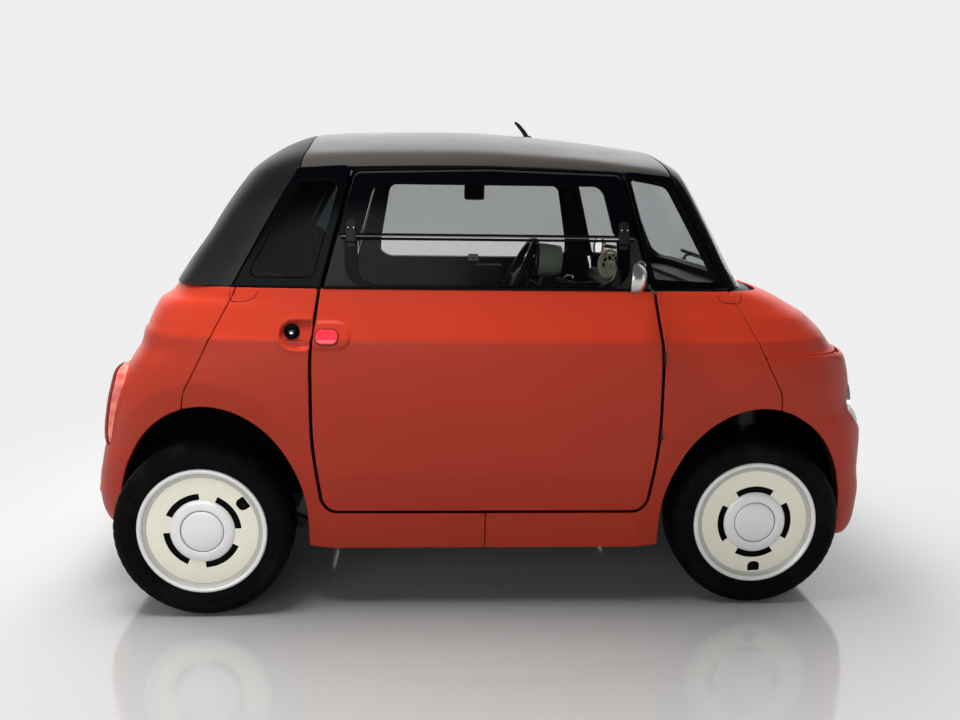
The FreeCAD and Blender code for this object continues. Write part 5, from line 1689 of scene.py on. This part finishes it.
for nm, x0, nx, ymap in (("front", 1.2665, 1, None), ("rear", -1.2640, -1, None)):
    pol = rounded([(-.160, -.055, .008), (.160, -.055, .008), (.160, .055, .008), (-.160, .055, .008)], 5)
    xf = (0, 1, 0)
    # leaned with the bumper face
    zt_, zb_ = .505, .395
    if nx > 0:
        xa, xb2 = float(LF_(zt_)), float(LF_(zb_))
    else:
        xa, xb2 = -float(LR_(zt_)), -float(LR_(zb_))
    nrm = np.array([nx * (zt_ - zb_), 0, -(xa - xb2) * nx * nx]) if nx > 0 else np.array([-(zt_ - zb_), 0, (xa - xb2)])
    nrm = nrm / np.linalg.norm(nrm)
    c = np.array([(xa + xb2) / 2, 0, .450]) + nrm * .0065
    o = plate("plate_frame_" + nm, c - nrm * .0015, nrm, xf, offset(ccw(pol), .005), .010, .002, "black_trim", "body", step=.03, replaces=("number_plates",))
    o = plate("plate_face_" + nm, c, nrm, xf, pol, .003, .0008, "plate_white", "body", step=.03)

# rear lower valance reflectors
for s in (-1, 1):
    rp = spaced(pill(s * .40, .330, .040, .012, 10), .005)
    # red reflectors in the glowing lens material: painted glow
    panel("rear_reflector_%s" % ("right" if s < 0 else "left"), low_wrap("R"), tail_uv(rp[:, 0], rp[:, 1]), t=.008, r=.0025, step=.008, mats=("lens_red",) * 3, lift=.003)

# ------------------------------------------------------------------ wiper and aerial
wp = front_uv(np.array([.300, .285, .235, .160, .080, -.020]), np.array([1.028, 1.042, 1.052, 1.058, 1.064, 1.070]))
Pw, Nw, _ = frame_at(ws_surf, None, wp, np.array(UREF, float))
P, rad = swept(Pw + Nw * np.array([.010, .018, .020, .020, .018, .016])[:, None], [.0060, .0060, .0050, .0042, .0038, .0030], 5)
tube_mesh("wiper_arm", P, .005, "black_trim", seg=8, radii=rad)
wb = front_uv(np.linspace(-.300, .230, 18), np.linspace(1.058, 1.076, 18))
Pb, Nb, _ = frame_at(ws_surf, None, wb, np.array(UREF, float))
tube_mesh("wiper_blade", Pb + Nb * .0075, .0042, "rubber", seg=8, squashed=1.6)
tube_mesh("wiper_spine", Pb[3:15] + Nb[3:15] * .0145, .0032, "black_trim", seg=8)
Wk, Rk = axes(Pw[0] - Nw[0] * .002, Nw[0], (0, 1, 0))
revolve("wiper_pivot", [(.0, .0220), (.0080, .0215), (.0130, .0180), (.0150, .0100), (.0160, -.0060), (.0, -.0060)], "black_trim", 32, (Wk, Rk), "body", sharp=45)

ab = np.array([[.1640, 0, 1.4870], [.1560, 0, 1.5010], [.1440, 0, 1.5165], [.1310, 0, 1.5310], [.1200, 0, 1.5400]])
P, rad = swept(ab, [.0085, .0078, .0070, .0060, .0040], 4)
o = tube_mesh("aerial_blade", P, .006, "black_trim", seg=12, radii=rad, squashed=.55, ups=(0, 1, 0))
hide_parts("antenna")
Wk, Rk = axes((.1650, 0, float(RZ_(.165)) - .001), (.06, 0, 1), (1, 0, 0))
revolve("aerial_base", [(.0, .0110), (.0070, .0100), (.0130, .0060), (.0165, .0005), (.0165, -.0060), (.0, -.0060)], "black_trim", 32, (Wk, Rk @ np.diag([1.25, 1, 1])), "body", sharp=45)

# ------------------------------------------------------------------ interior
# steering wheel
SWC = np.array([.151, .300, .962])
SWN = np.array([-.887, 0, .461])
SWN = SWN / np.linalg.norm(SWN)
su = np.array([0, 1.0, 0])
sv = np.cross(SWN, su)
th = np.linspace(0, 2 * math.pi, 96, endpoint=False)
P = SWC + np.outer(np.cos(th) * .166, su) + np.outer(np.sin(th) * .166, sv)
o = tube_mesh("wheel_rim", P, .0140, "black_trim", seg=14, closed=True, body="steering_wheel")
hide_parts("steering_wheel")
revolve("wheel_hub", [(.0, .0060), (.0250, .0045), (.0420, .0), (.0520, -.0080), (.0540, -.0200), (.0400, -.0440), (.0240, -.0520), (.0, -.0540)], "interior_dark", 56,
        (SWC, np.stack([su, sv, SWN], 1)), "steering_wheel", sharp=45)
for k, a in enumerate((math.radians(180), math.radians(0), math.radians(90 if sv[2] < 0 else 270))):
    d = su * math.cos(a) + sv * math.sin(a)
    tube_mesh("wheel_spoke_%d" % k, [SWC + d * .030 - SWN * .016, SWC + d * .075 - SWN * .014, SWC + d * .120 - SWN * .007, SWC + d * .158], .011,
              "interior_dark", seg=12, body="steering_wheel", radii=[.0150, .0125, .0100, .0090], ups=tuple(SWN), squashed=.55)
# instrument drum, pale with a dark rimmed face
Wd, Rd = axes((.2760, .2000, 1.0400), (-1, 0, .06), (0, 1, 0))
revolve("drum_shell", [(.0500, -.0480), (.0560, -.0420), (.0590, -.0200), (.0615, .0100), (.0635, .0400), (.0630, .0440), (.0600, .0440), (.0590, .0380), (.0560, .0330), (.0, .0330), (.0, -.0500)],
        "interior_light", 64, (Wd, Rd), "body", sharp=45)
revolve("drum_rim", [(.0618, .0425), (.0650, .0430), (.0664, .0462), (.0650, .0500), (.0610, .0510), (.0585, .0480), (.0580, .0425)], "interior_dark", 64, (Wd, Rd), "body", sharp=60)
o = revolve("drum_face", [(.0, .0372), (.0560, .0365), (.0590, .0350), (.0590, .0330), (.0, .0330)], "gloss_black", 64, (Wd, Rd), "body", sharp=45)
P, rad = swept([(.296, .200, .994), (.300, .200, .965), (.330, .200, .945), (.400, .200, .940), (.480, .200, .940)], [.012, .012, .013, .015, .018], 5)
o = tube_mesh("drum_stalk", P, .012, "interior_dark", seg=12, radii=rad)
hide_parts("instrument_pod")
# small cage fan on the dash
Wf, Rf = axes((.4960, .1200, 1.0330), (-.80, -.58, .16), (0, 0, 1))


def fan_pt(r, a, t=0.0):
    return Wf + Rf[:, 0] * (r * math.cos(a)) + Rf[:, 1] * (r * math.sin(a)) + Rf[:, 2] * t


for nm, r, rt, t, mt in (("outer", .0500, .0062, 0, "ivory"), ("inner", .0330, .0028, .004, "ivory")):
    P = [fan_pt(r, a, t) for a in np.linspace(0, 2 * math.pi, 56, endpoint=False)]
    o = tube_mesh("fan_ring_" + nm, P, rt, mt, seg=10, closed=True)
    if nm == "outer":
        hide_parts("desk_fan")
for k in range(6):
    a = math.pi * k / 3 + .3
    tube_mesh("fan_spoke_%d" % k, [fan_pt(.010, a, .006), fan_pt(.030, a, .0045), fan_pt(.049, a, .001)], .0026, "ivory", seg=8)
revolve("fan_hub", [(.0, .0140), (.0080, .0130), (.0130, .0090), (.0140, .0), (.0130, -.0250), (.0, -.0280)], "ivory", 32, (Wf, Rf), "body", sharp=50)
P, rad = swept([fan_pt(.0, 0, -.022), fan_pt(-.030, 0, -.026), np.array([.500, .126, .968])], [.006, .006, .010], 5)
tube_mesh("fan_stem", P, .006, "ivory", seg=10, radii=rad)
# dashboard with an open shelf
dash_ol = rounded([(.500, .800, .040), (.476, .880, .020), (.484, .902, .010), (.585, .912, .010), (.585, .936, .008), (.478, .940, .010), (.470, .958, .018), (.500, .985, .030), (.690, 1.004, .020),
                   (.700, .975, .010), (.640, .900, .030), (.590, .800, .020)], 7)
o = plate("dash_shell", (0, -.548, 0), (0, -1, 0), (1, 0, 0), dash_ol, 1.096, .010, "interior_dark", "body", step=.03, replaces=("dashboard",))
for k, (y0, y1) in enumerate(((-.50, -.08), (.36, .52))):
    soft_box("dash_bin_%d" % k, (.4620, y0, .8250), (.4960, y1, .8900), .012, "interior_panel", seg=3)
P, rad = swept([(.345, .215, .955), (.345, .215, .968), (.352, .208, .977), (.366, .198, .978), (.372, .194, .970)], [.005, .005, .0055, .005, .0045], 5)
tube_mesh("dash_hook", P, .005, "chrome", seg=10, radii=rad)

# ------------------------------------------------------------------ seats: foam pads swollen by a cloth simulation
import bmesh
from mathutils.bvhtree import BVHTree


def foam(name, corners, thick, place, body, replaces, channels, mat="fabric", cap=.024, bolster=.0, pull=.010, bow=.0):
    """pad in its own frame: x along, y across, z through; place maps (n,3) points to the car."""
    hx = max(c[0] for c in corners)
    hy = max(c[1] for c in corners)
    ol_p = offset(ccw(spaced(rounded(corners, 9), .010)), -.010)
    # the sides pull in between the corners
    ol_p[:, 1] -= np.sign(ol_p[:, 1]) * pull * np.maximum(0, 1 - (ol_p[:, 0] / hx) ** 2)
    ol_p[:, 0] -= np.sign(ol_p[:, 0]) * pull * .8 * np.maximum(0, 1 - (ol_p[:, 1] / hy) ** 2)
    inset = [(0.020, 0.0), (0.006, .25), (0.0, .5), (0.004, .80), (0.022, 1.0)]
    rows = []
    for ins, k in inset:
        o = offset(ccw(ol_p), -ins) if ins else ccw(ol_p)
        o = resample_n(o, 96)
        rows.append(np.column_stack([o, np.full(96, (k - .5) * (thick - .022))]))
    V_, F_ = [], []
    for rr in rows:
        V_ += rr.tolist()
    for i in range(len(rows) - 1):
        for k in range(96):
            a, b2 = i * 96 + k, i * 96 + (k + 1) % 96
            F_.append((a, b2, b2 + 96, a + 96))
    F_.append(tuple(range(95, -1, -1)))
    F_.append(tuple(range((len(rows) - 1) * 96, len(rows) * 96)))
    me = bpy.data.meshes.new(name)
    me.from_pydata([tuple(v) for v in V_], [], F_)
    ob = bpy.data.objects.new(name, me)
    scene.collection.objects.link(ob)
    vox = .0095
    md = ob.modifiers.new("remesh", "REMESH")
    md.mode = "VOXEL"
    md.voxel_size = vox
    dg = bpy.context.evaluated_depsgraph_get()
    m2 = bpy.data.meshes.new_from_object(ob.evaluated_get(dg))
    ob.modifiers.clear()
    ob.data = m2
    rest = np.empty(len(m2.vertices) * 3)
    m2.vertices.foreach_get("co", rest)
    rest = rest.reshape(-1, 3)
    cl = ob.modifiers.new("cloth", "CLOTH")
    cl.settings.quality = 4
    cl.settings.mass = .3
    cl.settings.tension_stiffness = 12
    cl.settings.compression_stiffness = 12
    cl.settings.shear_stiffness = 6
    cl.settings.bending_stiffness = .6
    cl.settings.use_pressure = True
    cl.settings.uniform_pressure_force = 4.0
    cl.settings.effector_weights.gravity = 0.0
    cl.collision_settings.use_collision = False
    cl.point_cache.frame_start = 1
    cl.point_cache.frame_end = 20
    for f in range(1, 21):
        scene.frame_set(f)
    dg = bpy.context.evaluated_depsgraph_get()
    m3 = bpy.data.meshes.new_from_object(ob.evaluated_get(dg))
    ob.modifiers.clear()
    ob.data = m3
    scene.frame_set(1)
    P = np.empty(len(m3.vertices) * 3)
    m3.vertices.foreach_get("co", P)
    P = P.reshape(-1, 3)
    d = P - rest
    ln = np.linalg.norm(d, axis=1)
    k = np.minimum(1.0, cap / np.maximum(ln, 1e-9))
    P = rest + d * k[:, None]
    # keep inside the pad's own space
    P[:, 0] = np.clip(P[:, 0], -hx - .004, hx + .004)
    P[:, 1] = np.clip(P[:, 1], -hy - .002, hy + .002)
    P[:, 2] = np.maximum(P[:, 2], -thick / 2 + .002)
    top = P[:, 2] > 0
    # bolsters along the sides and sewn channels across the front face
    if bolster:
        e = np.clip((np.abs(P[:, 1]) - hy * .52) / (hy * .30), 0, 1)
        e = e * e * (3 - 2 * e)
        P[:, 2] += np.where(top, bolster * e, 0)
    for kind, a, lo_, hi_ in channels:
        q, w = (P[:, 0], P[:, 1]) if kind == "x" else (P[:, 1], P[:, 0])
        gate = np.clip((w - lo_) / .02, 0, 1) * np.clip((hi_ - w) / .02, 0, 1)
        P[:, 2] -= np.where(top, .0095 * gate * np.exp(-((q - a) / .0100) ** 2), 0)
    ob.data.vertices.foreach_set("co", P.ravel())
    sub = ob.modifiers.new("smooth", "SUBSURF")
    sub.levels = sub.render_levels = 1
    dg = bpy.context.evaluated_depsgraph_get()
    m4 = bpy.data.meshes.new_from_object(ob.evaluated_get(dg))
    ob.modifiers.clear()
    ob.data = m4
    Q = np.empty(len(m4.vertices) * 3)
    m4.vertices.foreach_get("co", Q)
    Q = Q.reshape(-1, 3)
    tree = BVHTree.FromPolygons([tuple(v) for v in Q.tolist()], [tuple(p.vertices) for p in m4.polygons])

    def on_top(x, y):
        hit = tree.ray_cast(Vector((x, y, .5)), Vector((0, 0, -1)))
        return hit[0].z if hit[0] is not None else None

    def bent(A):
        A = np.array(A, float)
        out = A.copy()
        out[:, 2] += bow * (A[:, 0] / hx) ** 2
        return place(out)
    Wp = bent(Q)
    m4.vertices.foreach_set("co", Wp.ravel())
    m4.materials.clear()
    m4.materials.append(MATS[mat])
    m4.polygons.foreach_set("use_smooth", np.ones(len(m4.polygons), bool))
    m4.update()
    # outward faces
    bm = bmesh.new()
    bm.from_mesh(m4)
    bmesh.ops.recalc_face_normals(bm, faces=bm.faces)
    bm.to_mesh(m4)
    bm.free()
    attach(ob, body)
    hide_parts(replaces)
    # piping round the front face, and thread in the channels
    o = offset(ccw(ol_p), -.0185)
    o = resample_n(o, 120)
    pts = []
    for x, y in o:
        z = on_top(x, y)
        if z is not None:
            pts.append((x, y, z + .0008))
    tube_mesh(name + "_piping", bent(pts), .0030, "seam_thread", seg=8, closed=True, body=body)
    for ci, (kind, a, lo_, hi_) in enumerate(channels):
        line = []
        for w in np.linspace(lo_ + .008, hi_ - .008, 40):
            x, y = (a, w) if kind == "x" else (w, a)
            z = on_top(x, y)
            if z is not None:
                line.append((x, y, z + .0004))
        if len(line) > 4:
            tube_mesh("%s_stitch_%d" % (name, ci), bent(line), .0011, "seam_thread", seg=6, body=body)
    return ob


def resample_n(l, n):
    l = np.array(l, float)
    q = np.vstack([l, l[:1]])
    s = np.concatenate([[0], np.cumsum(np.linalg.norm(np.diff(q, axis=0), axis=1))])
    u = np.linspace(0, s[-1], n, endpoint=False)
    return np.stack([np.interp(u, s, q[:, 0]), np.interp(u, s, q[:, 1])], 1)


def seat_place(origin, ax, ay, az):
    ax, ay, az = (np.array(v, float) / np.linalg.norm(v) for v in (ax, ay, az))

    def f(A):
        return np.array(origin, float) + A[:, :1] * ax + A[:, 1:2] * ay + A[:, 2:3] * az
    return f


for si, cy in ((0, -.285), (1, .285)):
    nm = "right" if cy < 0 else "left"
    pl = seat_place((-.3360, cy, .4955), (.450, 0, .040), (0, 1, 0), (-.040, 0, .450))
    foam("seat_cushion_" + nm, [(-.222, -.200, .055), (.222, -.200, .085), (.222, .200, .085), (-.222, .200, .055)], .092, pl, "body", "seat_cushions",
         [("y", -.118, -.190, .150), ("y", .118, -.190, .150), ("x", .150, -.118, .118), ("x", .020, -.118, .118), ("x", -.105, -.118, .118)], bolster=.014)
    pb = seat_place((-.5760, cy, .8700), (-.161, 0, .647), (0, -1, 0), (.647, 0, .161))

    def back_place(A, pb=pb):
        Wd_ = pb(A)
        lim = -.6155 - .05 * np.clip((Wd_[:, 2] - .955) / .03, 0, 1)
        Wd_[:, 0] = np.maximum(Wd_[:, 0], lim)
        return Wd_
    foam("seat_back_" + nm, [(-.332, -.203, .060), (.085, -.203, .060), (.190, -.118, .045), (.336, -.104, .050), (.336, .104, .050), (.190, .118, .045), (.085, .203, .060), (-.332, .203, .060)],
         .088, back_place, "body", "seat_backs",
         [("y", -.118, -.320, .060), ("y", .118, -.320, .060), ("x", .060, -.118, .118), ("x", -.060, -.118, .118), ("x", -.180, -.118, .118), ("x", .165, -.100, .100)], bolster=.016)
    # moulded pan under the cushion
    plate("seat_pan_" + nm, (0, cy - .186, 0), (0, -1, 0), (1, 0, 0),
          rounded([(-.535, .4250, .004), (-.150, .4250, .010), (-.122, .4640, .006), (-.545, .4290, .004)], 4), .372, .004, "black_trim", "body", step=.03)
    for e in (-1, 1):
        soft_box("seat_rail_%s_%s" % (nm, "a" if e < 0 else "b"), (-.545, cy + e * .150 - .016, .2365), (-.125, cy + e * .150 + .016, .2580), .004, "steel", seg=2)
    # reclining pivots
    for e in (-1, 1):
        Wp, Rp = axes((-.535, cy + e * .214, .505), (0, e, 0), (1, 0, 0))
        revolve("seat_pivot_%s_%s" % (nm, "a" if e < 0 else "b"), [(.0, .0080), (.0200, .0072), (.0280, .0050), (.0320, .0005), (.0320, -.0160), (.0, -.0160)],
                "black_trim", 32, (Wp, Rp), "body", sharp=45)

# ------------------------------------------------------------------ carried-over nodes
NODE_MAT = {
    "door_hinges": "black_trim", "floor_pan": "carpet", "wheelhouse_liners": "dark_void", "front_bulkhead": "interior_dark",
    "rear_bulkhead_shelf": "carpet", "cowl": "black_trim", "dashboard": "interior_dark", "steering_column": "interior_dark",
    "seat_bases": "interior_dark", "drive_motor": "aluminium", "front_subframe": "steel", "rear_axle": "steel",
    "knuckle_right": "steel", "knuckle_left": "steel",
}
for n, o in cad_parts.items():
    m = NODE_MAT.get(n, "black_trim")
    o.data.materials.clear()
    o.data.materials.append(MATS[m])
    for p in o.data.polygons:
        p.material_index = 0

# ------------------------------------------------------------------ studio


def studio_floor():
    me = bpy.data.meshes.new("floor")
    R, seg = 60.0, 96
    vs = [(0, 0, -.0005)]
    for r in (2.0, 6.0, 14.0, R):
        vs += [(r * math.cos(2 * math.pi * k / seg), r * math.sin(2 * math.pi * k / seg), -.0005) for k in range(seg)]
    fs = [(0, 1 + k, 1 + (k + 1) % seg) for k in range(seg)]
    for j in range(3):
        a, b = 1 + j * seg, 1 + (j + 1) * seg
        fs += [(a + k, b + k, b + (k + 1) % seg, a + (k + 1) % seg) for k in range(seg)]
    me.from_pydata(vs, [], fs)
    ob = bpy.data.objects.new("floor", me)
    scene.collection.objects.link(ob)
    m, nt, out = nodes_of("floor")
    b = nt.nodes.new("ShaderNodeBsdfPrincipled")
    b.inputs["Base Color"].default_value = (.335, .335, .335, 1)
    b.inputs["Roughness"].default_value = .085
    b.inputs["Specular IOR Level"].default_value = .55
    e = nt.nodes.new("ShaderNodeEmission")
    e.inputs["Color"].default_value = (.857, .857, .857, 1)
    e.inputs["Strength"].default_value = 1.0
    mx = nt.nodes.new("ShaderNodeMixShader")
    ln = nt.nodes.new("ShaderNodeVectorMath")
    ln.operation = "LENGTH"
    nt.links.new(coords(nt), ln.inputs[0])
    f = ramp(nt, ln.outputs["Value"], 1.10, 2.9, 0.0, 1.0)
    nt.links.new(f, mx.inputs[0])
    nt.links.new(b.outputs[0], mx.inputs[1])
    nt.links.new(e.outputs[0], mx.inputs[2])
    nt.links.new(mx.outputs[0], out.inputs[0])
    me.materials.append(m)
    return ob


studio_floor()
world = bpy.data.worlds.new("studio")
scene.world = world
world.use_nodes = True
wt = world.node_tree
wt.nodes.clear()
wo = wt.nodes.new("ShaderNodeOutputWorld")
bg_cam = wt.nodes.new("ShaderNodeBackground")
bg_cam.inputs["Color"].default_value = (.857, .857, .857, 1)
bg_lit = wt.nodes.new("ShaderNodeBackground")
bg_lit.inputs["Color"].default_value = (.80, .82, .85, 1)
bg_lit.inputs["Strength"].default_value = .17
lp = wt.nodes.new("ShaderNodeLightPath")
wm = wt.nodes.new("ShaderNodeMixShader")
wt.links.new(lp.outputs["Is Camera Ray"], wm.inputs[0])
wt.links.new(bg_lit.outputs[0], wm.inputs[1])
wt.links.new(bg_cam.outputs[0], wm.inputs[2])
wt.links.new(wm.outputs[0], wo.inputs[0])


def softbox(name, loc, target, size, power, color=(1, 1, 1)):
    ld = bpy.data.lights.new(name, "AREA")
    ld.shape = "RECTANGLE"
    ld.size, ld.size_y = size
    ld.energy = power
    ld.color = color
    lo = bpy.data.objects.new(name, ld)
    lo.location = loc
    d = Vector(target) - Vector(loc)
    lo.rotation_euler = d.to_track_quat("-Z", "Y").to_euler()
    scene.collection.objects.link(lo)
    return lo


softbox("top", (-.45, .10, 3.4), (-.25, .0, .8), (3.8, 1.4), 325, (1, .985, .965)).visible_glossy = False
softbox("front_fill", (-2.0, -5.2, 2.0), (-.2, 0, .6), (4.4, 1.8), 75)
softbox("left_fill", (-4.6, -1.6, 2.2), (0, 0, .7), (2.4, 2.2), 12)
softbox("right_fill", (4.9, -.6, 1.5), (.9, -.4, .6), (1.6, 1.8), 10)
softbox("back_fill", (-.3, 5.0, 3.2), (-.3, 0, 1.6), (17.0, 6.0), 500)
